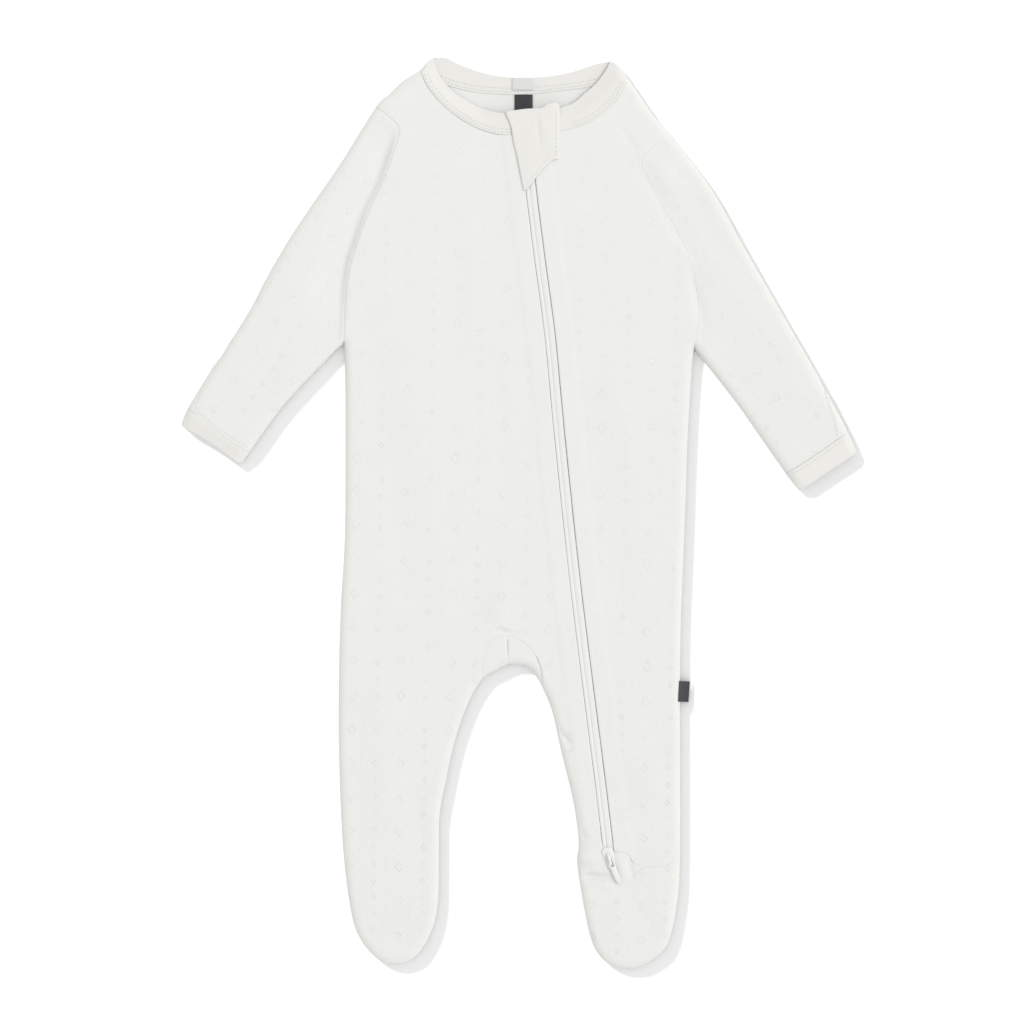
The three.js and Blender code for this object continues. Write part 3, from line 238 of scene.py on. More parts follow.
def cloth_wall(skins, thickness):
    """Cloth of a real thickness: the skins sewn together where they meet, a second skin inside them
    along the points' normals, and a strip round every open edge."""
    offsets = np.cumsum([0] + [len(skin) for skin, _ in skins])
    points = np.vstack([skin for skin, _ in skins])
    triangles = np.vstack([faces + offset for (_, faces), offset in zip(skins, offsets)])
    _, first, same = np.unique(np.round(points, 3), axis=0, return_index=True, return_inverse=True)
    points, triangles = points[first], same.ravel()[triangles]
    corner = points[triangles]
    facet = np.cross(corner[:, 1] - corner[:, 0], corner[:, 2] - corner[:, 0])
    real = np.linalg.norm(facet, axis=1) > 1e-9
    triangles, facet = triangles[real], facet[real]
    normal = np.stack([sum(np.bincount(triangles[:, k], facet[:, axis], len(points)) for k in range(3))
                       for axis in range(3)], axis=1)
    normal /= np.maximum(np.linalg.norm(normal, axis=1), 1e-12)[:, None]
    count = len(points)
    sides = triangles[:, [0, 1, 1, 2, 2, 0]].reshape(-1, 2)
    open_sides = sides[~np.isin(sides[:, 0] * count + sides[:, 1], sides[:, 1] * count + sides[:, 0])]
    a, b = open_sides.T
    faces = np.vstack([triangles, triangles[:, ::-1] + count, np.column_stack([b, a, a + count]),
                       np.column_stack([b, a + count, b + count])])
    return np.vstack([points, points - thickness * normal]), faces, np.linalg.norm(facet, axis=1).sum() / 2


SHARP = 48     # degrees: cut edges stay crisp


def add_piece(name, points, faces, material, body="garment", grain=None):
    """Puts a mesh given in millimetres into the scene in metres, smooth, riding on a body. Its grain is
    an attribute: millimetres across and along the knit, and how far the cloth is doubled, 0 to 1."""
    mesh = bpy.data.meshes.new(name)
    points = np.asarray(points, float)
    faces = np.asarray(faces)
    placed = (points - (*middle, 0)) * MM
    mesh.vertices.add(len(placed))
    mesh.vertices.foreach_set("co", placed.ravel())
    mesh.loops.add(faces.size)
    mesh.loops.foreach_set("vertex_index", faces.ravel())
    mesh.polygons.add(len(faces))
    mesh.polygons.foreach_set("loop_start", np.arange(len(faces)) * faces.shape[1])
    mesh.update(calc_edges=True)
    mesh.shade_smooth()
    mesh.set_sharp_from_angle(angle=np.radians(SHARP))
    if grain is not None:
        mesh.attributes.new("grain", "FLOAT_VECTOR", "POINT").data.foreach_set("vector", grain.ravel())
    mesh.materials.append(material)
    made = bpy.data.objects.new(name, mesh)
    bpy.context.scene.collection.objects.link(made)
    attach(made, body)
    return made


BODY_GRAIN = 88.94     # degrees: the columns lean a little on the laid body


def grain_of(points, angle=BODY_GRAIN, doubled=None):
    """Millimetres across and along the knit, whose columns run at the angle given, in degrees."""
    turn = np.radians(angle - 90)
    x, y = points[:, 0], points[:, 1]
    return np.column_stack([x * np.cos(turn) + y * np.sin(turn), y * np.cos(turn) - x * np.sin(turn),
                            np.zeros(len(points)) if doubled is None else doubled])


def linear(code):
    """An sRGB hex colour as the linear colour that a shader takes."""
    part = np.array([int(code[k:k + 2], 16) for k in (1, 3, 5)]) / 255
    return (*np.where(part <= 0.04045, part / 12.92, ((part + 0.055) / 1.055)**2.4), 1)


def new_material(name):
    """An empty node material with its principled shader."""
    material = bpy.data.materials.new(name)
    material.use_nodes = True
    return material, material.node_tree, material.node_tree.nodes["Principled BSDF"]


def add(tree, kind, *inputs, **settings):
    """Adds a node with its settings, sets or links its inputs, and gives its first output that is on.
    The inputs come one by one from the first, or in a dictionary by name or number."""
    node = tree.nodes.new("ShaderNode" + kind)
    for key, value in settings.items():
        setattr(node, key, value)
    named = inputs[0] if inputs and isinstance(inputs[0], dict) else dict(enumerate(inputs))
    for key, value in named.items():
        if isinstance(value, bpy.types.NodeSocket):
            tree.links.new(value, node.inputs[key])
        else:
            node.inputs[key].default_value = value
    return next(output for output in node.outputs if output.enabled)


# The knit's repeat in millimetres: columns of small diamonds of four holes, and between them columns
# of larger diamonds of eight, each with a ladder of dropped stitches to its right
COLUMN_PITCH = 15.1
COLUMN_START = 25.5
SMALL_ROW = 10.36
SMALL_START = 226.2
SMALL_HOLES = [(1.15, 0.0), (0.0, 1.35)]
LARGE_ROW = 21.1
LARGE_START = 201.1
LARGE_HOLES = [(2.3, 0.0), (1.2, 1.4), (0.0, 2.7)]
HOLE_RADIUS = 0.62
LADDER_PLACE = 6.7
RUNG = 1.9
WANDER = (4.0, 5.0)     # how far columns and rows stray, several times the real stray at a point
WALE = 1.3     # the real wales are about 0.8 mm apart, too fine to show


def pointelle_jersey(name, code):
    """Fine single jersey in viscose and cotton with pointelle columns: matt, faintly woolly, with small open
    holes and ladders of dropped stitches that look like fine lines. Holes and ladders are darkened in the colour:
    painted shade, for the shaded cloth seen through the openwork."""
    material, tree, shader = new_material(name)
    grain = add(tree, "Attribute", attribute_name="grain")
    wander = add(tree, "TexNoise", {"Vector": grain, "Scale": 0.035, "Detail": 2.0}).node.outputs["Color"]
    wander = add(tree, "VectorMath", wander, (0.5, 0.5, 0.5), operation="SUBTRACT")
    grain = add(tree, "VectorMath", wander, (*WANDER, 0), grain, operation="MULTIPLY_ADD")
    across, down, doubled = add(tree, "SeparateXYZ", grain).node.outputs
    column = add(tree, "Math", across, COLUMN_START, operation="ADD")
    column = add(tree, "Math", column, COLUMN_PITCH, operation="DIVIDE")
    number = add(tree, "Math", column, operation="ROUND")
    off_column = add(tree, "Math", column, number, operation="SUBTRACT")
    off_column = add(tree, "Math", off_column, COLUMN_PITCH, operation="MULTIPLY")
    beside = add(tree, "Math", off_column, operation="ABSOLUTE")
    odd = add(tree, "Math", number, 2.0, operation="FLOORED_MODULO")
    even = add(tree, "Math", 1.0, odd, operation="SUBTRACT")
    to_hole = None
    for row, start, holes, other_column in ((SMALL_ROW, SMALL_START, SMALL_HOLES, odd),
                                            (LARGE_ROW, LARGE_START, LARGE_HOLES, even)):
        share = add(tree, "Math", down, start, operation="SUBTRACT")
        share = add(tree, "Math", share, row, operation="DIVIDE")
        turn = add(tree, "Math", share, add(tree, "Math", share, operation="ROUND"), operation="SUBTRACT")
        above = add(tree, "Math", add(tree, "Math", turn, row, operation="MULTIPLY"), operation="ABSOLUTE")
        here = add(tree, "CombineXYZ", beside, above)
        for x, y in holes:
            to = add(tree, "VectorMath", here, (x, y, 0), operation="DISTANCE")
            to = add(tree, "Math", other_column, 9.0, to, operation="MULTIPLY_ADD")
            to_hole = add(tree, "Math", to_hole, to, operation="MINIMUM") if to_hole else to
    woolly = add(tree, "TexNoise", {"Vector": grain, "Scale": 0.55, "Detail": 3.0, "Roughness": 0.6})
    patchy = add(tree, "TexNoise", {"Vector": grain, "Scale": 0.045, "Detail": 1.0})
    stretched = add(tree, "TexNoise", {"Vector": grain, "Scale": 0.1, "Detail": 3.0})
    single = add(tree, "Math", 1.0, doubled, operation="SUBTRACT")
    open_here = add(tree, "MapRange", stretched, 0.38, 0.62, 0.1, 1.05)
    lower = add(tree, "MapRange", down, 230.0, -240.0, 0.55, 1.3)
    single = add(tree, "Math", single, open_here, operation="MULTIPLY")
    single = add(tree, "Math", single, lower, operation="MULTIPLY")
    hole = add(tree, "MapRange", to_hole, HOLE_RADIUS * 0.3, HOLE_RADIUS * 1.6, 1.0, 0.0,
               interpolation_type="SMOOTHSTEP")
    hole = add(tree, "Math", hole, single, operation="MULTIPLY")
    to_ladder = add(tree, "Math", off_column, LADDER_PLACE, operation="SUBTRACT")
    to_ladder = add(tree, "Math", to_ladder, operation="ABSOLUTE")
    ladder = add(tree, "MapRange", to_ladder, 0.1, 0.5, 1.0, 0.0, interpolation_type="SMOOTHSTEP")
    rung = add(tree, "Math", add(tree, "Math", down, 2 * np.pi / RUNG, operation="MULTIPLY"),
               operation="SINE")
    rung = add(tree, "Math", rung, 0.4, 0.6, operation="MULTIPLY_ADD")
    ladder = add(tree, "Math", ladder, rung, operation="MULTIPLY")
    ladder = add(tree, "Math", ladder, single, operation="MULTIPLY")
    wale = add(tree, "Math", add(tree, "Math", across, 2 * np.pi / WALE, operation="MULTIPLY"),
               operation="SINE")
    # Painted shade: the holes and the ladders darken the colour, standing in for the shade seen through the
    # openwork; none where the cloth is doubled
    shade = add(tree, "Math", hole, -0.085, 1.0, operation="MULTIPLY_ADD")
    shade = add(tree, "Math", ladder, -0.035, shade, operation="MULTIPLY_ADD")
    fuzz = add(tree, "Math", woolly, 0.08, -0.068, operation="MULTIPLY_ADD")
    shade = add(tree, "Math", fuzz, lower, shade, operation="MULTIPLY_ADD")
    shade = add(tree, "Math", patchy, 0.025, shade, operation="MULTIPLY_ADD")
    colour = add(tree, "Mix", {0: 1.0, 6: linear(code), 7: shade}, data_type="RGBA", blend_type="MULTIPLY")
    tree.links.new(colour, shader.inputs["Base Color"])
    height = add(tree, "Math", ladder, -0.1, operation="MULTIPLY")
    height = add(tree, "Math", hole, -0.4, height, operation="MULTIPLY_ADD")
    height = add(tree, "Math", wale, 0.03, height, operation="MULTIPLY_ADD")
    height = add(tree, "Math", woolly, 0.22, height, operation="MULTIPLY_ADD")
    bump = add(tree, "Bump", {"Height": height, "Strength": 0.55, "Distance": 0.5 * MM})
    tree.links.new(bump, shader.inputs["Normal"])
    shader.inputs["Roughness"].default_value = 0.92
    shader.inputs["Specular IOR Level"].default_value = 0.25
    shader.inputs["Sheen Weight"].default_value = 0.12
    shader.inputs["Sheen Roughness"].default_value = 0.5
    return material


JERSEY = "#DBDBD8"
jersey = pointelle_jersey("pointelle_jersey", JERSEY)
FRONT_GRID = 1.7
BACK_GRID = 2.7

skin, faces = cloth_skin(
    along("neck_seam_back", "shoulder_left", "armhole_left", "-side_left", "-heel_left",
          "-inner_leg_left", "-arch_left", "-arch_right", "-inner_leg_right", "-heel_right",
          "-side_right", "-armhole_right", "-shoulder_right"), BACK_GRID,
    lambda flat: laid_height(flat, 0, SEAM_BACK, ROLL_BACK, BACK_FOLDS), facing=-1)
points, faces, area = cloth_wall([(skin, faces)], CLOTH)
back = add_piece("back_cloth", points, faces, jersey, grain=grain_of(points))
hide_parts("back")

# Fronts
# Two pieces of the same jersey, left and right of the slanting zip. The wearer's right front runs down
# both legs inside the zip. Their zip edges are folded under onto the tape and topstitched.

ZIP_CENTRE = smooth_line([(2.4, 247.4), (3.8, 234.1), (7.4, 200), (13.2, 154), (19.2, 108.8), (24.8, 50.5),
                          (32.9, -27), (40.3, -89), (50.2, -166.5), (55, -206.5)])
ZIP_HALF_OPENING = 3.4
ZIP_SEAM = {"right": (0.4, 233.4), "left": (7.2, 234)}
ZIP_FOOT = {"right": (54.6, -216.5), "left": (58.4, -210.6)}


def beside(path, offset):
    """A line moved sideways, to its left where the offset is above 0."""
    direction = np.gradient(path, axis=0)
    left = np.column_stack([-direction[:, 1], direction[:, 0]])
    return path + offset * left / np.linalg.norm(left, axis=1)[:, None]


def between(path, first, last):
    """The middle stretch of a line, from one share of its length to another."""
    return path[int(first * len(path)):int(last * len(path))]


for side, sign in (("right", -1), ("left", 1)):
    edge = beside(ZIP_CENTRE, sign * ZIP_HALF_OPENING)
    edge = edge[edge[:, 1] < ZIP_SEAM[side][1] - 6][::8]
    line["zip_edge_" + side] = smooth_line([ZIP_SEAM[side], *edge, ZIP_FOOT[side]])
line["neck_seam_right"] = smooth_line([(-61.4, 273.7), (-57, 263.8), (-50.5, 255.3), (-43.4, 248.3),
                                       (-34.1, 241.8), (-25.4, 237.2), (-12.8, 233.6), ZIP_SEAM["right"]])
line["neck_seam_left"] = smooth_line([(67.8, 268.5), (64.2, 261.3), (59.1, 253.4), (50.5, 245.5),
                                      (40.3, 239.6), (25.4, 235.3), ZIP_SEAM["left"]])
line["ankle_inner"] = smooth_line([(36, -216.1), (44, -218.4), ZIP_FOOT["right"]])
line["ankle_outer"] = smooth_line([ZIP_FOOT["left"], (62.8, -210.6), (67.2, -211.8), (69.6, -216.2),
                                   (74, -218.8), (84.3, -219.8), (92.4, -217.9), (99.8, -214.2)])
line["ankle_hump"] = between(line["ankle_outer"], 0, 0.34)
line["ankle_side"] = between(line["ankle_outer"], 0.28, 1)
line["arch_lower"] = between(line["arch_left"], 0.55, 1)
line["foot_by_zip"] = smooth_line([ZIP_FOOT["right"], (56.2, -213.2), ZIP_FOOT["left"]])
line["cuff_seam_right"] = smooth_line([(-205.4, 63.8), (-200.3, 59.8), (-184, 47.4), (-167.4, 36.5)])
line["cuff_seam_left"] = smooth_line([(203.8, 49.4), (195.9, 44), (181, 33.6), (165.4, 23.7)])

# Folds of the laid front in millimetres: x, y, angle, length, half-width and height
FRONT_FOLDS = [
    (-87, 210, 70, 76, 3.4, -0.9), (-102, 173.5, 69, 70, 3.4, -0.9), (-109.5, 134, 82, 62, 3.2, -1.0),
    (81, 202, 118, 56, 3, -0.5), (98, 172, 119, 62, 3, -0.6), (109.6, 134, 98, 54, 3, -1.0),
    (67.6, 231, -61, 30, 1.4, -0.5), (-96, 210, 68, 60, 7, 0.2), (89, 208, 118, 60, 7, 0.8),
    (-10.5, -73.6, -24, 13, 1.3, -1.5), (-3.5, -74.8, -4, 10, 1.2, -0.9), (-12, -60, 62, 44, 8, 0.7),
    (27.5, -139, -58, 22, 1.7, -2.0), (38.5, -199, -70, 18, 2, -1.6), (46, -225.8, -9, 30, 2.2, -2.3),
    (45, -216, -16, 26, 3, 1.2), (69.2, -222, -88, 17, 1.7, -1.0), (64, -218, -88, 24, 3.6, 0.8),
    (52, -231, -30, 20, 2.6, 0.5), (-80, -150, 84, 150, 12, 0.6), (76, -150, 91, 120, 12, 0.5),
    (-60, 60, 88, 190, 16, 0.6), (70, 40, 94, 170, 14, 0.6), (-146, 128, 56, 130, 12, 0.6),
    (150, 118, 121, 130, 12, 0.6), (-30, 150, 86, 120, 7, 0.25), (-12, 60, 91, 150, 6, -0.22),
    (-74, -20, 92, 130, 8, -0.25), (-46, -60, 80, 90, 6, 0.25), (50, 130, 84, 110, 7, -0.25),
    (78, 96, 98, 80, 6, 0.25), (66, -60, 95, 120, 7, -0.22), (-86, -110, 86, 90, 5, 0.2),
    (-62, -190, 97, 70, 5, -0.3), (-90, -236, 75, 50, 6, 0.25), (84, -170, 88, 70, 5, 0.22),
    (62, -250, 80, 46, 6, 0.3), (80, -254, 100, 40, 5, -0.25), (-120, 176, 55, 90, 6, -0.3),
    (-172, 84, 50, 60, 6, 0.25), (-150, 92, 60, 60, 5, -0.3), (126, 160, 118, 80, 6, -0.25),
    (172, 74, 125, 60, 6, 0.25), (142, 76, 128, 70, 5, -0.3), (-36, 222, 35, 50, 5, 0.25),
    (44, 222, -30, 46, 5, 0.25), (-64, 236, 40, 40, 4, -0.25), (30, -40, 70, 60, 6, -0.25),
    (-22, -30, 40, 46, 5, -0.2)]
EDGE_ROUND = (0.5, 0.8)
PLACKET = 10.5
FRONT_SEAMS = [      # lines, depth and width of the groove that the seam presses, in millimetres
    (("neck_seam_right",), 0.45, 1.0), (("neck_seam_left",), 0.12, 0.9), (("cuff_seam_right",), 0.25, 0.9),
    (("armhole_right",), 0.5, 1.6), (("armhole_left", "arch_right"), 0.22, 0.9), (("arch_left",), 0.3, 1.0),
    (("arch_lower",), 0.7, 1.4), (("cuff_seam_left", "ankle_side"), 0.28, 0.9),
    (("ankle_hump",), 0.5, 1.3), (("ankle_inner",), 0.04, 0.8)]
front_seams = [([line[name] for name in names], depth, width) for names, depth, width in FRONT_SEAMS]
zip_edges = [line["zip_edge_right"], line["zip_edge_left"], line["foot_by_zip"]]


def steps_up(distance, start, end):
    """0 up to the start and 1 from the end on, with a soft ramp between."""
    share = np.clip((distance - start) / (end - start), 0, 1)
    return share**2 * (3 - 2 * share)


def front_height(flat, seam=SEAM_FRONT, edges=silhouette):
    """The laid front: its folds, its rounded seams and zip edges, the doubled cloth beside the zip, and
    a faint unevenness from sums of slow waves."""
    height = laid_height(flat, LAID_TOP, seam, ROLL_FRONT, FRONT_FOLDS,
                         [*front_seams, (zip_edges, *EDGE_ROUND)], edges)
    height += 0.3 * steps_up(-distance_to(flat, zip_edges[:2]), -PLACKET - 1.5, -PLACKET + 1)
    x, y = flat.T
    uneven = sum(np.sin((x * np.cos(turn) + y * np.sin(turn)) * 2 * np.pi / wave + phase)
                 for turn, wave, phase in ((0.2, 31, 0.4), (1.3, 47, 2.1), (2.2, 23, 1.2), (2.9, 61, 4.0)))
    return height + 0.05 * uneven * np.clip(distance_to(flat, edges) / 9, 0, 1)


def front_piece(name, outline, grid=FRONT_GRID):
    """A front panel on the laid height, with its knit's columns straight down the body."""
    skin, faces = cloth_skin(outline, grid, front_height)
    points, faces, area = cloth_wall([(skin, faces)], CLOTH)
    doubled = steps_up(-distance_to(points[:, :2], zip_edges), -PLACKET - 1, -PLACKET + 1)
    made = add_piece(name + "_cloth", points, faces, jersey,
                     grain=grain_of(points, doubled=doubled))
    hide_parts(name)
    return made


front_right = front_piece("front_right", along(
    "-neck_seam_right", "shoulder_right", "armhole_right", "side_right", "foot_right",
    "inner_leg_right", "arch_right", "arch_left", "inner_leg_left", "ankle_inner", "-zip_edge_right"))
front_left = front_piece("front_left", along(
    "neck_seam_left", "zip_edge_left", "ankle_outer", "side_left", "-armhole_left", "-shoulder_left"))

# Feet
# The wearer's left foot has a front of its own, sewn to the legs at the ankle, whose top edge rises
# beside the zip's end. Each foot has a sole, sewn to the back at the heel and to the front all round.

foot_left = front_piece("foot_left", along("foot_left", "-ankle_outer", "-foot_by_zip", "-ankle_inner"),
                        grid=1.0)
for side, flat_size in (("right", (0.060, 0.076)), ("left", (0.064, 0.070))):
    skin, faces = cloth_skin(along("foot_" + side, "-heel_" + side), BACK_GRID, lambda flat: laid_height(
        flat, 0, SEAM_BACK, ROLL_BACK, BACK_FOLDS, [([line["heel_right"], line["heel_left"]], -0.5, 1.2)]),
        facing=-1)
    points, faces, area = cloth_wall([(skin, faces)], CLOTH)
    sole = add_piece("sole_" + side + "_cloth", points, faces, jersey, grain=grain_of(points))
    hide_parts("sole_" + side)

# Gusset
# Two small diamonds of jersey let in between the legs and joined by a short seam in the middle. Each
# goes round the fork from the front to the back.

line["gusset_centre"] = np.linspace((-7.4, -76.3), (-6.6, -94.9), 12)
SEAM_WRAPPED = 2.4


def wrapped_piece(name, outline, over, under, thickness, angle, material, grid=FRONT_GRID,
                  doubled=None):
    """A piece that goes round the silhouette: one pattern twice, over and under, sewn at the fold."""
    flat, triangles = pattern(outline, grid)
    skins = [(np.column_stack([flat, over(flat)]), triangles),
             (np.column_stack([flat, under(flat)]), triangles[:, ::-1])]
    points, faces, area = cloth_wall(skins, thickness)
    made = add_piece(name + "_cloth", points, faces, material, grain=grain_of(points, angle, doubled))
    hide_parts(name)
    return made


def back_height(flat, edges=silhouette):
    """The underside of a wrapped piece, flat on the table and rolled up to the fold."""
    return laid_height(flat, 0, SEAM_WRAPPED, ROLL_BACK, edges=edges)


centre_seam = [line["gusset_centre"][2:]]


def gusset_height(flat):
    """The gusset's upper face, rounded down into its middle seam."""
    turned = np.sqrt(1 - np.clip(1 - distance_to(flat, centre_seam) / 1.3, 0, 1)**2)
    fade = np.clip(distance_to(flat, silhouette) / 9, 0, 1)
    return front_height(flat, SEAM_WRAPPED) - 0.8 * (1 - turned) * fade


for side, outline in (("right", along("arch_right", "gusset_centre", "-crotch_right")),
                      ("left", along("arch_left", "-crotch_left", "-gusset_centre"))):
    wrapped_piece("gusset_" + side, outline, gusset_height, back_height, CLOTH, 90,
                  jersey)

# Sleeves
# One piece of jersey each, folded along the top edge and sewn under the arm, then to the body at the
# armhole. Each is drawn in a little where its mitten lies over it.

SLEEVE_GRAIN = {"right": 56, "left": 124}
MITTEN_CLOTH = 0.5
MITTEN_CLEAR = 0.5
MITTEN_START = 0.25
MITTEN_LINE = {"right": [(-189.8, 86.5), (-194.6, 76), (-200.3, 59.8)],
               "left": [(191.4, 66.4), (194.8, 54.6), (195.9, 44)]}
sleeve_silhouette = list(silhouette)
for k, (side, sign) in enumerate((("right", 1), ("left", -1))):
    edge = line["mitten_edge_" + side]
    share = np.linspace(0, 1, len(edge))
    drawn_in = beside(edge, sign * MITTEN_CLEAR) - edge
    under = edge + drawn_in * steps_up(share, 0, MITTEN_START)[:, None]
    line["mitten_under_" + side] = under
    line["sleeve_hem_" + side] = np.vstack([under[-1:], line["cuff_seam_" + side][2:]])
    sleeve_silhouette[k] = along("band_fold_" + side, "shoulder_" + side, "sleeve_edge_" + side,
                                 "mitten_under_" + side)
    rim = edge[int(MITTEN_START * len(edge)):]
    line["mitten_rim_" + side] = rim
    line["mitten_line_" + side] = smooth_line([rim[0], *MITTEN_LINE[side]])
    seam = line["cuff_seam_" + side]
    near_end = np.linalg.norm(seam - MITTEN_LINE[side][-1], axis=1).argmin()
    line["mitten_hem_" + side] = np.vstack([MITTEN_LINE[side][-1], seam[:near_end][::-1]])

SLEEVE_DROP = {"right": (2.5, 4.6, 26.0), "left": (0.3, 3.0, 12.0)}


def sleeve_height(flat, side):
    """The sleeve's upper face. It falls away from the body's edge along the armhole by the depth and
    within the width given, and is slowly back at its own height. Under the mitten it is pressed down by
    the mitten's thickness."""
    height = front_height(flat, SEAM_WRAPPED, sleeve_silhouette)
    depth, falls, back_up = SLEEVE_DROP[side]
    depth = depth * steps_up(-flat[:, 1], -242, -222) * (0.35 + 0.65 * steps_up(flat[:, 1], 104, 145))
    away = distance_to(flat, [line["armhole_" + side]])
    near = steps_up(away, -0.5, falls) - steps_up(away, falls, back_up)
    height -= depth * near * np.clip(distance_to(flat, sleeve_silhouette) / 6, 0, 1)
    mitten = along("mitten_rim_" + side, "-mitten_hem_" + side, "-mitten_line_" + side)
    covered = steps_up(distance_to(flat, [line["mitten_line_" + side]]), 0, 1.8)
    return height - MITTEN_CLOTH * covered * is_inside(flat, mitten[:-1])


for side, outline in (
        ("right", along("armhole_right", "-underarm_right", "-sleeve_hem_right", "-mitten_under_right",
                        "-sleeve_edge_right")),
        ("left", along("armhole_left", "underarm_left", "-sleeve_hem_left", "-mitten_under_left",
                       "-sleeve_edge_left"))):
    wrapped_piece("sleeve_" + side, outline,
                  lambda flat: sleeve_height(flat, side),
                  lambda flat: back_height(flat, sleeve_silhouette), CLOTH, SLEEVE_GRAIN[side], jersey)

# Mittens
# A second layer of jersey on each sleeve's outer edge by the cuff, which turns over the hand. It lies
# open side in on the sleeve, sewn down along its inner edge.

MITTEN_RAISE = 0.15


def mitten_height(flat, side):
    """The mitten on its sleeve: level with it along its sewn edges and a little above it elsewhere."""
    sewn = [line["mitten_line_" + side], line["mitten_hem_" + side]]
    return front_height(flat, SEAM_WRAPPED) + MITTEN_RAISE * steps_up(distance_to(flat, sewn), 0, 1.2) + 0.02


for side in ("right", "left"):
    skin, faces = cloth_skin(along("mitten_rim_" + side, "-mitten_hem_" + side, "-mitten_line_" + side), 1.5,
                             lambda flat: mitten_height(flat, side))
    points, faces, area = cloth_wall([(skin, faces)], MITTEN_CLOTH)
    mitten = add_piece("mitten_" + side + "_cloth", points, faces, jersey,
                       grain=grain_of(points, SLEEVE_GRAIN[side], np.ones(len(points))))
    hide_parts("mitten_" + side)

# Cuffs and neckband
# Folded bindings of a denser jersey with no pattern. Each cuff is a tube of two layers, and the
# neckband is one strip that runs round the neck from one zip edge to the other.


def plain_jersey(name, code):
    """Dense plain jersey of the bindings: matt, with fine wales that catch the light as soft ribs."""
    material, tree, shader = new_material(name)
    grain = add(tree, "Attribute", attribute_name="grain")
    across = add(tree, "SeparateXYZ", grain)
    wale = add(tree, "Math", add(tree, "Math", across, 2 * np.pi / WALE, operation="MULTIPLY"),
               operation="SINE")
    woolly = add(tree, "TexNoise", {"Vector": grain, "Scale": 0.7, "Detail": 3.0})
    shade = add(tree, "Math", woolly, 0.06, 0.965, operation="MULTIPLY_ADD")
    colour = add(tree, "Mix", {0: 1.0, 6: linear(code), 7: shade}, data_type="RGBA", blend_type="MULTIPLY")
    tree.links.new(colour, shader.inputs["Base Color"])
    height = add(tree, "Math", wale, 0.15, woolly, operation="MULTIPLY_ADD")
    bump = add(tree, "Bump", {"Height": height, "Strength": 0.4, "Distance": 0.2 * MM})
    tree.links.new(bump, shader.inputs["Normal"])
    shader.inputs["Roughness"].default_value = 0.9
    shader.inputs["Specular IOR Level"].default_value = 0.25
    shader.inputs["Sheen Weight"].default_value = 0.1
    return material


binding = plain_jersey("binding_jersey", "#D9D8D4")
BAND_CLOTH = 1.5
BAND_RAISE = 0.4
BAND_ROWS = {"neck": (1.5, 3.6), "right": (), "left": (2.4,)}
ROW_DEPTH = 0.16
SINK_WIDTH = 10
CUFF_SINK = 1.6
line["cuff_end_right"] = smooth_line([(-209.2, 54.4), (-206.5, 51.6), (-190, 41.6), (-176, 31.4),
                                      (-171.5, 31)])
line["cuff_end_left"] = smooth_line([(209, 38.4), (207.5, 35.6), (191, 24.6), (174, 13.2)])


def band_height(flat, free_lines, seam_lines, rows, sink):
    """A binding: it stands a little above the cloth, crowned between its seam and its folded edge, with
    a shallow groove at each distance from the seam where a row of stitches holds it down. Towards its
    free edge it sinks by the depths given, until it rests on the two layers of the back."""
    height = laid_height(flat, LAID_TOP, SEAM_WRAPPED, ROLL_FRONT, FRONT_FOLDS)
    fade = np.clip(distance_to(flat, silhouette) / 5, 0, 1)
    free = np.sqrt(1 - np.clip(1 - distance_to(flat, free_lines) / 1.4, 0, 1)**2)
    from_seam = distance_to(flat, seam_lines)
    sewn = np.sqrt(1 - np.clip(1 - from_seam / 1.2, 0, 1)**2)
    pressed = ROW_DEPTH * sum(np.exp(-((from_seam - row) / 0.5)**2) for row in rows)
    height += fade * (BAND_RAISE - 0.8 * (1 - free) - 0.5 * (1 - sewn) - pressed)
    sunk = sink * (1 - steps_up(distance_to(flat, free_lines), 0, SINK_WIDTH))
    sunk *= np.clip(distance_to(flat, silhouette) / 2, 0, 1)
    return height - np.minimum(sunk, np.maximum(height - 2 * BAND_CLOTH - 0.2, 0))


for side, outline in (("right", along("cuff_seam_right", "-cuff_under_right", "-cuff_end_right",
                                      "-cuff_edge_right")),
                      ("left", along("cuff_seam_left", "cuff_under_left", "-cuff_end_left",
                                     "-cuff_edge_left"))):
    free, sewn = [line["cuff_end_" + side]], [line["cuff_seam_" + side]]
    wrapped_piece("cuff_" + side, outline, lambda flat: band_height(flat, free, sewn, BAND_ROWS[side], CUFF_SINK),
                  back_height, BAND_CLOTH, SLEEVE_GRAIN[side], binding, grid=1.4)

ZIP_TOP = {"right": (-0.9, 246.6), "left": (5.9, 247.2)}
line["neck_edge_right"] = smooth_line([(-52.7, 281.8), (-49, 270.6), (-41.5, 261.3), (-31.6, 254.5),
                                       (-21.7, 249.6), (-11.8, 247.1), ZIP_TOP["right"]])
line["neck_edge_left"] = smooth_line([(56.4, 279.3), (54.2, 274.6), (47.7, 265.7), (40.3, 259.2),
                                      (33.2, 253.4), (22, 249.6), ZIP_TOP["left"]])
line["neck_edge_back"] = smooth_line([(-52.7, 281.8), (-45.5, 281.6), (-39.7, 278.7), (-25.4, 273.1),
                                      (-11.2, 270), (3.1, 269.4), (17.4, 270), (31.6, 272.5), (47, 277.4),
                                      (56.4, 279.3)])
for side in ("right", "left"):
    line["band_end_" + side] = np.linspace(ZIP_SEAM[side], ZIP_TOP[side], 9)
neck_free = [line[name] for name in ("neck_edge_right", "neck_edge_left", "band_end_right", "band_end_left")]
neck_sewn = [line["neck_seam_right"], line["neck_seam_left"]]
NECK_SINK = {"right": 3.0, "left": 2.2}


def neck_height(flat):
    """The neckband's front, which sinks towards the back along its free edge, least beside the zip."""
    x = flat[:, 0] - ZIP_SEAM["right"][0]
    sink = np.where(x < 0, NECK_SINK["right"], NECK_SINK["left"]) * (0.1 + 0.9 * steps_up(np.abs(x), 8, 30))
    return band_height(flat, neck_free, neck_sewn, BAND_ROWS["neck"], sink)


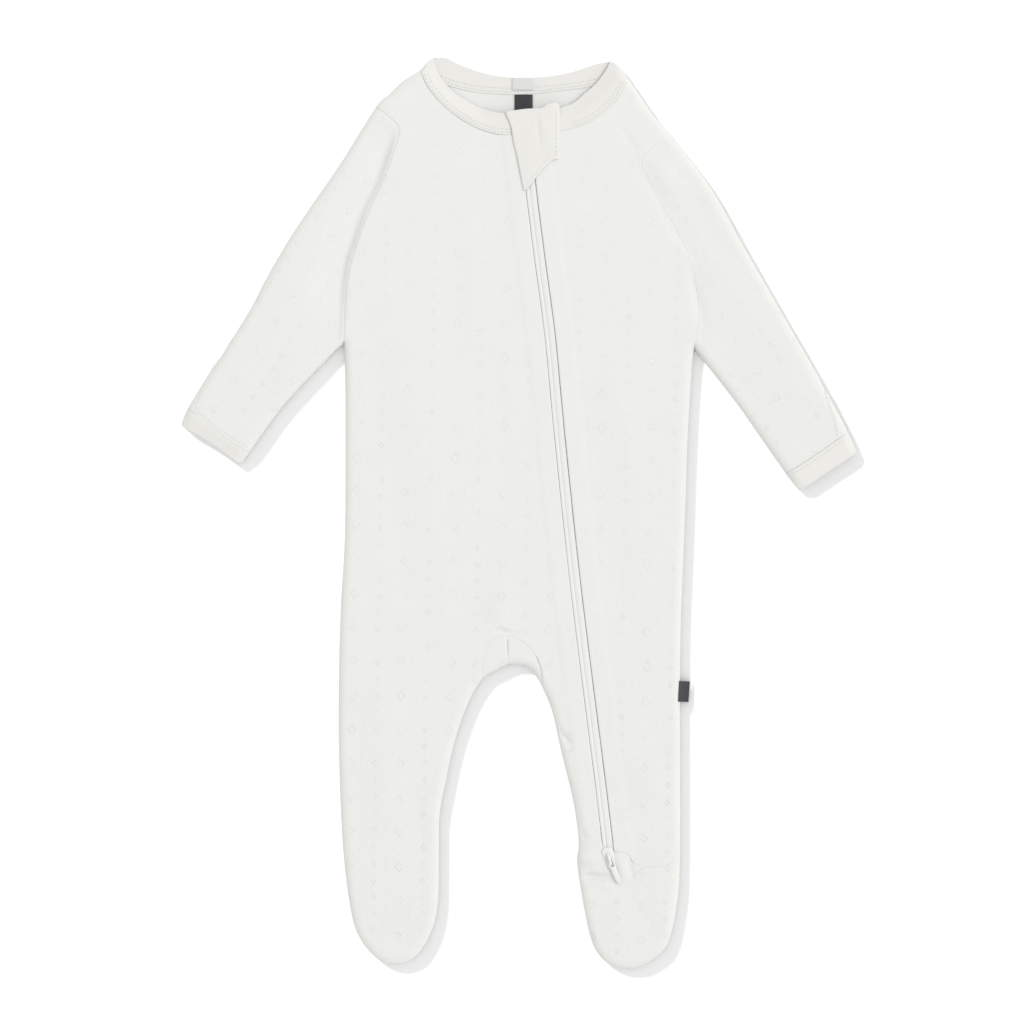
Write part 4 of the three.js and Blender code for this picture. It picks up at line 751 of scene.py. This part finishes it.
skins = [cloth_skin(along("band_fold_right", "neck_seam_right", "band_end_right", "-neck_edge_right"), 1.4,
                    neck_height),
         cloth_skin(along("band_fold_left", "neck_seam_left", "band_end_left", "-neck_edge_left"), 1.4,
                    neck_height),
         cloth_skin(along("band_fold_right", "neck_seam_back", "-band_fold_left", "-neck_edge_back"), 1.4,
                    back_height, facing=-1)]
points, faces, area = cloth_wall(skins, BAND_CLOTH)
neckband = add_piece("neckband_cloth", points, faces, binding, grain=grain_of(points, 80))
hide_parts("neckband")

# Zip
# A white nylon coil zip, size 3, on woven tape. The tapes lie under the two fronts, and the two rows of
# coil stand hooked together between them, down to the slider at the foot.

TAPE_INNER = 1.8
TAPE_REACH = 9.0
TAPE_TOP = 4.9
TAPE_WALL = 0.8


def carried(path, section, rib=0.0, pitch=1.0):
    """A closed profile carried along a flat path: its points stand to the left of the path by their
    first number and above the table by their second. Ribs raise its upper half in a sine wave."""
    section = np.asarray(section, float)
    direction = np.gradient(path, axis=0)
    run = np.concatenate([[0], np.cumsum(np.linalg.norm(np.diff(path, axis=0), axis=1))])
    left = np.column_stack([-direction[:, 1], direction[:, 0]])
    left /= np.linalg.norm(left, axis=1)[:, None]
    flat = path[:, None] + left[:, None] * section[None, :, :1]
    upper = section[:, 1] > section[:, 1].mean()
    side = np.sign(section[:, 0]) * np.pi / 2
    wave = rib * upper * np.sin(run[:, None] * 2 * np.pi / pitch + side)
    height = section[None, :, 1] + wave
    points = np.concatenate([flat, height[..., None]], axis=2)
    count, ring = points.shape[:2]
    i, k = np.mgrid[0:count - 1, 0:ring]
    a, b = i * ring + k, i * ring + (k + 1) % ring
    faces = np.stack([a, b, b + ring, a + ring], axis=2).reshape(-1, 4)
    fan = np.array([(0, k + 1, k) for k in range(1, ring - 1)])
    return points.reshape(-1, 3), np.vstack([faces[:, [0, 1, 2]], faces[:, [0, 2, 3]], fan,
                                             fan[:, ::-1] + (count - 1) * ring])


def woven_tape(name, code):
    """Woven polyester zip tape: a fine herringbone, smooth and slightly bright beside the jersey."""
    material, tree, shader = new_material(name)
    place = add(tree, "TexCoord").node.outputs["Object"]
    twill = add(tree, "TexWave", {"Vector": place, "Scale": 380.0, "Distortion": 0.4},
                wave_type="BANDS", bands_direction="DIAGONAL")
    shade = add(tree, "Math", twill, 0.07, 0.93, operation="MULTIPLY_ADD")
    colour = add(tree, "Mix", {0: 1.0, 6: linear(code), 7: shade}, data_type="RGBA", blend_type="MULTIPLY")
    tree.links.new(colour, shader.inputs["Base Color"])
    bump = add(tree, "Bump", {"Height": twill, "Strength": 0.4, "Distance": 0.2 * MM})
    tree.links.new(bump, shader.inputs["Normal"])
    shader.inputs["Roughness"].default_value = 0.7
    return material


tape = woven_tape("woven_zip_tape", "#DEDEDB")
ZIP_END = [(55.3, -209.5), (55.5, -212.5)]
zip_path = smooth_line([*ZIP_CENTRE[::12], ZIP_CENTRE[-1], *ZIP_END])
tape_side = [(TAPE_INNER, TAPE_TOP - TAPE_WALL), (TAPE_REACH, TAPE_TOP - TAPE_WALL),
             (TAPE_REACH, TAPE_TOP - 0.15), (TAPE_REACH - 0.2, TAPE_TOP), (TAPE_INNER + 0.2, TAPE_TOP),
             (TAPE_INNER, TAPE_TOP - 0.15)]
for side, sign in (("right", -1), ("left", 1)):
    section = [(sign * across, height) for across, height in tape_side][::sign]
    points, faces = carried(zip_path, section)
    zip_tape = add_piece("zip_tape_" + side + "_woven", points, faces, tape)
    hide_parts("zip_tape_" + side)

# The tapes' inner edges turn up over the coil and meet in a groove nearer the wearer's right: across
# the zip and above the table, in millimetres
CHAIN_PROFILE = [
    (-3.1, 4.95), (2.9, 4.95), (3.12, 5.2), (3.1, 5.45), (2.8, 5.72), (2.2, 5.9), (1.4, 5.98), (0.6, 5.98),
    (-0.3, 5.88), (-0.7, 5.7), (-0.9, 5.5), (-1.1, 5.7), (-1.6, 5.86), (-2.2, 5.95), (-3.0, 5.9),
    (-3.3, 5.6), (-3.34, 5.2)]
COIL_PITCH = 1.2
COIL_RIB = 0.05
run = np.concatenate([[0], np.cumsum(np.linalg.norm(np.diff(zip_path, axis=0), axis=1))])
at = np.arange(0, run[-1], COIL_PITCH / 4)
fine_path = np.stack([np.interp(at, run, zip_path[:, k]) for k in (0, 1)], axis=1)
points, faces = carried(fine_path, CHAIN_PROFILE, COIL_RIB, COIL_PITCH)
chain = add_piece("zip_coil_chain", points, faces, tape)
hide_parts("zip_coil")

# Zip guard
# A tab of binding jersey, double, folded over the top of the zip so that the slider can't touch the
# chin. It is sewn on one side and hemmed along its slanting edge.

GUARD_OUTLINE = [(-8.7, 247.4), (3.1, 249.2), (13.6, 249.9), (18, 252.4), (24.2, 252.8), (25.2, 248),
                 (25.3, 235), (25.1, 219.4), (20.5, 217.4), (13.6, 210.6), (5.6, 200.4), (3.2, 198.5),
                 (1.9, 203), (-0.9, 218), (-3.6, 229.2), (-5, 238)]
GUARD_FOLDS = [(15, 238, 97, 34, 4, 0.4), (6, 222, 80, 40, 4, 0.3), (12, 237, 92, 38, 1.2, -0.45)]
GUARD_TOP = 7.5
GUARD_CLOTH = 1.0
guard_edge = smooth_line([*GUARD_OUTLINE, GUARD_OUTLINE[0]])
guard_sewn = np.array([(24.6, 252.8), (25.2, 248), (25.3, 235), (25.1, 219.4)], float)
guard_hem = smooth_line([(4.6, 203.4), (11.8, 212.9), (18.6, 220.2), (24, 223)])


def guard_height(flat):
    """The guard: level, rounded over at its edge, with a hem line pressed into it and soft folds."""
    rounded = np.sqrt(1 - np.clip(1 - distance_to(flat, [guard_edge]) / 1.3, 0, 1)**2)
    sewn = np.clip(1 - distance_to(flat, [guard_sewn]) / 5, 0, 1)**2
    hem = np.exp(-(distance_to(flat, [guard_hem]) / 0.6)**2)
    fade = np.clip(distance_to(flat, [guard_edge]) / 4, 0, 1)
    return GUARD_TOP - 0.6 * (1 - rounded) - 1.0 * sewn - 0.6 * hem + fade * fold_height(flat, GUARD_FOLDS)


skin, faces = cloth_skin(guard_edge, 1.0, guard_height)
points, faces, area = cloth_wall([(skin, faces)], GUARD_CLOTH)
guard = add_piece("zip_guard_cloth", points, faces, binding, grain=grain_of(points, 97))
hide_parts("zip_guard")

# Sewing
# Polyester thread in twin-needle and plain lockstitch rows: round the neck and the cuffs, along the mittens, and
# down the guard's sewn side and its hem.

STITCH = (0.95, 0.24, 0.15)     # half length, half width and half height in millimetres
STITCH_PITCH = 2.6


def spun_thread(name, code):
    """Spun polyester sewing thread: two plies twisted together, matt with a slight gleam."""
    material, tree, shader = new_material(name)
    place = add(tree, "TexCoord").node.outputs["Object"]
    ply = add(tree, "TexWave", {"Vector": place, "Scale": 900.0, "Distortion": 1.0}, wave_type="BANDS",
              bands_direction="DIAGONAL")
    shade = add(tree, "Math", ply, 0.08, 0.92, operation="MULTIPLY_ADD")
    colour = add(tree, "Mix", {0: 1.0, 6: linear(code), 7: shade}, data_type="RGBA", blend_type="MULTIPLY")
    tree.links.new(colour, shader.inputs["Base Color"])
    shader.inputs["Roughness"].default_value = 0.65
    return material


# The thread's colour is a little darker than the jersey's: partly its own tone, partly painted shade standing in
# for the dimples that the needle presses in
thread = spun_thread("spun_thread", "#D0D0CB")


def stitch_shape():
    """One stitch from -1 to 1 along x: a bar of four sides that tapers to a point at both ends."""
    turn = np.linspace(0, 2 * np.pi, 4, endpoint=False) + np.pi / 4
    ring = np.column_stack([np.cos(turn), np.sin(turn)]) * 1.2
    points = np.vstack([(-1, 0, 0), *[np.column_stack([np.full(4, x), ring]) for x in (-0.6, 0.6)], (1, 0, 0)])
    k = np.arange(4)
    n = (k + 1) % 4
    faces = np.vstack([np.column_stack([np.zeros(4, int), n + 1, k + 1]), np.column_stack([k + 1, n + 1, n + 5]),
                       np.column_stack([k + 1, n + 5, k + 5]), np.column_stack([np.full(4, 9), k + 5, n + 5])])
    return points, faces


def stitches(name, rows, height, lift=0.06):
    """Rows of stitches on a surface: one every pitch along each row, at the surface's height and laid
    along the row and its slope."""
    shape, faces = stitch_shape()
    all_points, all_faces, total = [], [], 0
    for row in rows:
        run = np.concatenate([[0], np.cumsum(np.linalg.norm(np.diff(row, axis=0), axis=1))])
        at = np.arange(STITCH_PITCH / 2, run[-1], STITCH_PITCH)
        ends = [np.stack([np.interp(at + side, run, row[:, k]) for k in (0, 1)], axis=1)
                for side in (-STITCH[0], STITCH[0])]
        ends = [np.column_stack([end, height(end) + lift]) for end in ends]
        centre, ahead = (ends[0] + ends[1]) / 2, ends[1] - ends[0]
        ahead /= np.linalg.norm(ahead, axis=1)[:, None]
        beside_it = np.cross([0, 0, 1], ahead)
        beside_it /= np.linalg.norm(beside_it, axis=1)[:, None]
        above = np.cross(ahead, beside_it)
        points = (centre[:, None] + shape[None, :, :1] * STITCH[0] * ahead[:, None]
                  + shape[None, :, 1:2] * STITCH[1] * beside_it[:, None]
                  + shape[None, :, 2:] * STITCH[2] * above[:, None])
        all_points.append(points.reshape(-1, 3))
        start = total + np.arange(len(centre))[:, None, None] * len(shape)
        all_faces.append((faces[None] + start).reshape(-1, 3))
        total += len(all_points[-1])
    return add_piece(name, np.vstack(all_points), np.vstack(all_faces), thread)


neck_rows = [beside(between(line["neck_seam_right"], 0.05, 0.95), across) for across in BAND_ROWS["neck"]]
neck_rows += [beside(between(line["neck_seam_left"], 0.05, 0.66), -across) for across in BAND_ROWS["neck"]]
stitches("stitches_neck_front", neck_rows, neck_height)
back_rows = [beside(between(line["neck_seam_back"], 0.1, 0.9), across) for across in (1.6, 3.8)]
stitches("stitches_neck_back", back_rows, lambda flat: np.full(len(flat), BAND_CLOTH + 0.02))
stitches("stitches_cuff_right", [beside(line["cuff_seam_right"], 2.4)[2:-1]],
         lambda flat: sleeve_height(flat, "right"))
stitches("stitches_cuff_left", [beside(line["cuff_seam_left"], BAND_ROWS["left"][0])[3:-2]],
         lambda flat: band_height(flat, free, sewn, BAND_ROWS["left"], CUFF_SINK))
for side, across, lift in (("right", -1.2, 0.06), ("left", 1.2, -0.05)):
    stitches("stitches_mitten_" + side, [beside(line["mitten_line_" + side][2:-1], across)],
             lambda flat: mitten_height(flat, side), lift)
stitches("stitches_guard", [beside(guard_sewn, -2.2)[1:], guard_hem], guard_height)

# Labels
# Three woven satin labels, all bare: a black one and a pale grey size tab in the back neck seam, and a
# black folded tab in the wearer's left side seam.


def woven_satin(name, code, roughness):
    """Woven polyester satin of a label: fine close threads across it, with a soft gleam."""
    material, tree, shader = new_material(name)
    place = add(tree, "TexCoord").node.outputs["Object"]
    threads = add(tree, "TexWave", {"Vector": place, "Scale": 420.0, "Distortion": 0.3}, wave_type="BANDS",
                  bands_direction="Y")
    shade = add(tree, "Math", threads, 0.16, 0.86, operation="MULTIPLY_ADD")
    colour = add(tree, "Mix", {0: 1.0, 6: linear(code), 7: shade}, data_type="RGBA", blend_type="MULTIPLY")
    tree.links.new(colour, shader.inputs["Base Color"])
    bump = add(tree, "Bump", {"Height": threads, "Strength": 0.4, "Distance": 0.12 * MM})
    tree.links.new(bump, shader.inputs["Normal"])
    shader.inputs["Roughness"].default_value = roughness
    return material


LABEL_CLOTH = 0.5
black_satin = woven_satin("black_label_satin", "#26262A", 0.5)
grey_satin = woven_satin("grey_label_satin", "#D3D3D2", 0.6)


def label_skin(width, height, bow, steps=(14, 18)):
    """A label's upper face round its own middle: a grid bowed up across it, turned down at its rim."""
    u, v = np.meshgrid(np.linspace(-1, 1, steps[0]), np.linspace(-1, 1, steps[1]))
    z = bow * (1 - u**2) - 0.18 * np.maximum(np.abs(u), np.abs(v))**12
    a = (np.arange(steps[1] - 1)[:, None] * steps[0] + np.arange(steps[0] - 1)).ravel()
    faces = np.vstack([np.column_stack([a, a + 1, a + 1 + steps[0]]),
                       np.column_stack([a, a + 1 + steps[0], a + steps[0]])])
    return np.column_stack([(u * width / 2).ravel(), (v * height / 2).ravel(), z.ravel()]), faces


LABELS = {     # width, height, middle, lean and turn in degrees, bow, material, record slot
    "label_size": (13.3, 7.6, (2.5, 265.4, 2.3), 0, 0, 0.1, grey_satin, "label_grey"),
    "label_neck": (11.2, 18, (2.9, 249.8, 1.95), 0, 0, 0.1, black_satin, "label_black"),
    "label_side": (7.4, 12.8, (102.3, -111.3, 3.6), 26, -4, 0.15, black_satin, "label_black")}
for name, (width, height, place, lean, turn, bow, satin, slot) in LABELS.items():
    skin, faces = label_skin(width, height, bow)
    x, y, z = skin.T
    lean, turn = np.radians(lean), np.radians(turn)
    x, y = x * np.cos(turn) - y * np.sin(turn), x * np.sin(turn) + y * np.cos(turn)
    x, z = x * np.cos(lean) + z * np.sin(lean), z * np.cos(lean) - x * np.sin(lean)
    points, faces, area = cloth_wall([(np.column_stack([x, y, z]) + place, faces)], LABEL_CLOTH)
    label = add_piece(name + "_woven", points, faces, satin)
    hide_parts(name)

# Zip slider and pull
# A die-cast slider in white enamel: two plates round the chain with a post between them, and a bridge
# that holds the wire end of a flat pull tab.

SLIDER_PLACE = (55.6, -213.6)
SLIDER_TURN = np.radians(14)
UPPER_PLATE = 6.3
LOWER_PLATE = 1.6
PLATE_WALL = 0.8
WIRE_HEIGHT = 8.4
BRIDGE_Y = -1.2
PULL_LENGTH = 16.0
PULL_DROP = 1.2
PULL_LEAN = np.radians(9)


def rounded_plate(width, end_width, length, low, wall, radius=0.3, steps=56):
    """A plate with rounded ends and edges, wider at its upper end: rings of one outline, whose half
    width is a superellipse of its height times a straight taper, drawn in round the edge."""
    turn = np.linspace(0, 2 * np.pi, steps, endpoint=False)
    x = np.sign(np.cos(turn)) * np.abs(np.cos(turn))**0.62
    y = np.sign(np.sin(turn)) * np.abs(np.sin(turn))**0.62
    taper = (width + end_width) / 4 + (width - end_width) / 4 * y
    rings = []
    for level in np.linspace(-1, 1, 7):
        bend = np.clip(np.abs(level) - 1 / 3, 0, 1) * 1.5
        inset = radius * (1 - np.sqrt(1 - bend**2))
        height = low + wall * (level + 1) / 2
        rings.append(np.column_stack([x * (taper - inset), y * (length / 2 - inset), np.full(steps, height)]))
    points = np.vstack([*rings, [(0, 0, low)], [(0, 0, low + wall)]])
    k = np.arange(steps)
    n = (k + 1) % steps
    faces = []
    for ring in range(6):
        a, b = ring * steps + k, ring * steps + n
        faces += [np.column_stack([a, b, b + steps]), np.column_stack([a, b + steps, a + steps])]
    bottom, top = 7 * steps, 7 * steps + 1
    faces += [np.column_stack([np.full(steps, bottom), n, k]),
              np.column_stack([np.full(steps, top), 6 * steps + k, 6 * steps + n])]
    return points, np.vstack(faces)


def swept(path, level, half_width, half_height, steps=12):
    """An oval bar along a path: its width lies along the level direction, its height square to both."""
    path, level = np.asarray(path, float), np.asarray(level, float)
    ahead = np.gradient(path, axis=0)
    ahead /= np.linalg.norm(ahead, axis=1)[:, None]
    above = np.cross(level, ahead)
    turn = np.linspace(0, 2 * np.pi, steps, endpoint=False)
    points = (path[:, None] + half_width * np.cos(turn)[None, :, None] * level
              + half_height * np.sin(turn)[None, :, None] * above[:, None]).reshape(-1, 3)
    points = np.vstack([points, path[:1], path[-1:]])
    count = len(path)
    i, k = np.mgrid[0:count - 1, 0:steps]
    a, b = (i * steps + k).ravel(), (i * steps + (k + 1) % steps).ravel()
    k = np.arange(steps)
    n = (k + 1) % steps
    faces = np.vstack([np.column_stack([a, a + steps, b + steps]), np.column_stack([a, b + steps, b]),
                       np.column_stack([np.full(steps, count * steps), k, n]),
                       np.column_stack([np.full(steps, count * steps + 1), (count - 1) * steps + n,
                                        (count - 1) * steps + k])])
    return points, faces


def white_enamel(name, code):
    """Zinc alloy under baked white enamel: smooth and half glossy, with the enamel pooled a little unevenly."""
    material, tree, shader = new_material(name)
    place = add(tree, "TexCoord").node.outputs["Object"]
    pooled = add(tree, "TexNoise", {"Vector": place, "Scale": 320.0, "Detail": 2.0})
    shade = add(tree, "Math", pooled, 0.08, 0.94, operation="MULTIPLY_ADD")
    colour = add(tree, "Mix", {0: 1.0, 6: linear(code), 7: shade}, data_type="RGBA", blend_type="MULTIPLY")
    tree.links.new(colour, shader.inputs["Base Color"])
    bump = add(tree, "Bump", {"Height": pooled, "Strength": 0.25, "Distance": 0.1 * MM})
    tree.links.new(bump, shader.inputs["Normal"])
    shader.inputs["Roughness"].default_value = 0.32
    shader.inputs["Coat Weight"].default_value = 0.3
    return material


def joined(shapes):
    """Several closed shapes as one mesh."""
    offsets = np.cumsum([0] + [len(points) for points, _ in shapes])
    return (np.vstack([points for points, _ in shapes]),
            np.vstack([faces + offset for (_, faces), offset in zip(shapes, offsets)]))


def on_slider(points):
    """From the slider's own middle to its place on the garment, turned with the zip's foot."""
    x, y, z = points.T
    return np.column_stack([x * np.cos(SLIDER_TURN) - y * np.sin(SLIDER_TURN) + SLIDER_PLACE[0],
                            x * np.sin(SLIDER_TURN) + y * np.cos(SLIDER_TURN) + SLIDER_PLACE[1], z])


enamel = white_enamel("white_enamelled_zinc", "#DDDDDA")
top = UPPER_PLATE + PLATE_WALL
arch = np.linspace(0, np.pi, 25)
bridge = np.column_stack([np.zeros(25), BRIDGE_Y - 3.5 * np.cos(arch), top - 0.3 + 2.7 * np.sin(arch)**0.55])
post = np.column_stack([np.zeros(9), np.full(9, 3.2), np.linspace(LOWER_PLATE + 0.4, UPPER_PLATE + 0.4, 9)])
points, faces = joined([rounded_plate(8, 5.8, 12.4, UPPER_PLATE, PLATE_WALL),
                        rounded_plate(8, 5.8, 12.4, LOWER_PLATE, PLATE_WALL),
                        swept(bridge, (1, 0, 0), 0.95, 0.5), swept(post, (1, 0, 0), 1.0, 1.4)])
slider = add_piece("zip_slider_cast", on_slider(points), faces, enamel)
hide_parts("zip_slider")

tab, tab_faces = rounded_plate(3.7, 3.0, 11, -0.5, 1.0, radius=0.35)
arms = [swept(np.column_stack([np.full(9, side * 1.5), np.linspace(0.1, -6.2, 9), np.zeros(9)]), (1, 0, 0),
              0.5, 0.5) for side in (-1, 1)]
wire = swept(np.column_stack([np.linspace(-1.6, 1.6, 9), np.zeros(9), np.zeros(9)]), (0, 1, 0), 0.5, 0.5)
points, faces = joined([(tab + (0, -10.3, 0), tab_faces), *arms, wire])
dip = np.arctan2(PULL_DROP, PULL_LENGTH)
x, y, z = points.T
y, z = y * np.cos(dip) - z * np.sin(dip), y * np.sin(dip) + z * np.cos(dip)
x, y = x * np.cos(PULL_LEAN) - y * np.sin(PULL_LEAN), x * np.sin(PULL_LEAN) + y * np.cos(PULL_LEAN)
points = np.column_stack([x, y + BRIDGE_Y, z + WIRE_HEIGHT])
pull = add_piece("zip_pull_tab", on_slider(points), faces, enamel, body="pull_tab")
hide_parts("zip_pull")

# Floor, light and camera
# A white sheet of paper under soft even light. One large lamp from the right models the cloth, and one
# from the upper left only throws the faint shadow on the paper. The camera looks straight down.


def matt_paper(name, code):
    """Smooth matt white paper with a very faint tooth."""
    material, tree, shader = new_material(name)
    place = add(tree, "TexCoord").node.outputs["Object"]
    tooth = add(tree, "TexNoise", {"Vector": place, "Scale": 600.0})
    bump = add(tree, "Bump", {"Height": tooth, "Strength": 0.05, "Distance": 0.1 * MM})
    tree.links.new(bump, shader.inputs["Normal"])
    shader.inputs["Base Color"].default_value = linear(code)
    shader.inputs["Roughness"].default_value = 1.0
    shader.inputs["Specular IOR Level"].default_value = 0.0
    return material


mesh = bpy.data.meshes.new("floor")
mesh.from_pydata([(-3, -3, -0.0002), (3, -3, -0.0002), (3, 3, -0.0002), (-3, 3, -0.0002)], [], [(0, 1, 2, 3)])
mesh.materials.append(matt_paper("white_paper", "#F7F7F7"))
floor = bpy.data.objects.new("floor", mesh)
bpy.context.scene.collection.objects.link(floor)

scene = bpy.context.scene
world = bpy.data.worlds.new("studio")
world.use_nodes = True
world.node_tree.nodes["Background"].inputs["Color"].default_value = (1, 1, 1, 1)
world.node_tree.nodes["Background"].inputs["Strength"].default_value = 0.918
scene.world = world


def large_lamp(name, towards, strength, softness, lights_floor):
    """A wide distant lamp shining the way given, on the paper alone or on everything but the paper."""
    lamp = bpy.data.lights.new(name, "SUN")
    lamp.energy = strength
    lamp.angle = np.radians(softness)
    lamp_object = bpy.data.objects.new(name, lamp)
    lamp_object.rotation_euler = Vector(towards).to_track_quat("-Z", "Y").to_euler()
    scene.collection.objects.link(lamp_object)
    linked = bpy.data.collections.new(name + "_receivers")
    linked.objects.link(floor)
    lamp_object.light_linking.receiver_collection = linked
    state = "INCLUDE" if lights_floor else "EXCLUDE"
    linked.collection_objects[0].light_linking.link_state = state


large_lamp("lamp_right", (-0.60, -0.22, -0.77), 1.2, 20, lights_floor=False)
large_lamp("lamp_shadow", (0.646, -0.646, -0.407), 2.6, 5, lights_floor=True)
scene.view_settings.view_transform = "Standard"

camera_data = bpy.data.cameras.new("camera")
camera_data.lens = 100
camera_data.sensor_width = 36
camera = bpy.data.objects.new("camera", camera_data)
camera.location = (-0.00425, 0.00055, 1.766)
scene.collection.objects.link(camera)
scene.camera = camera
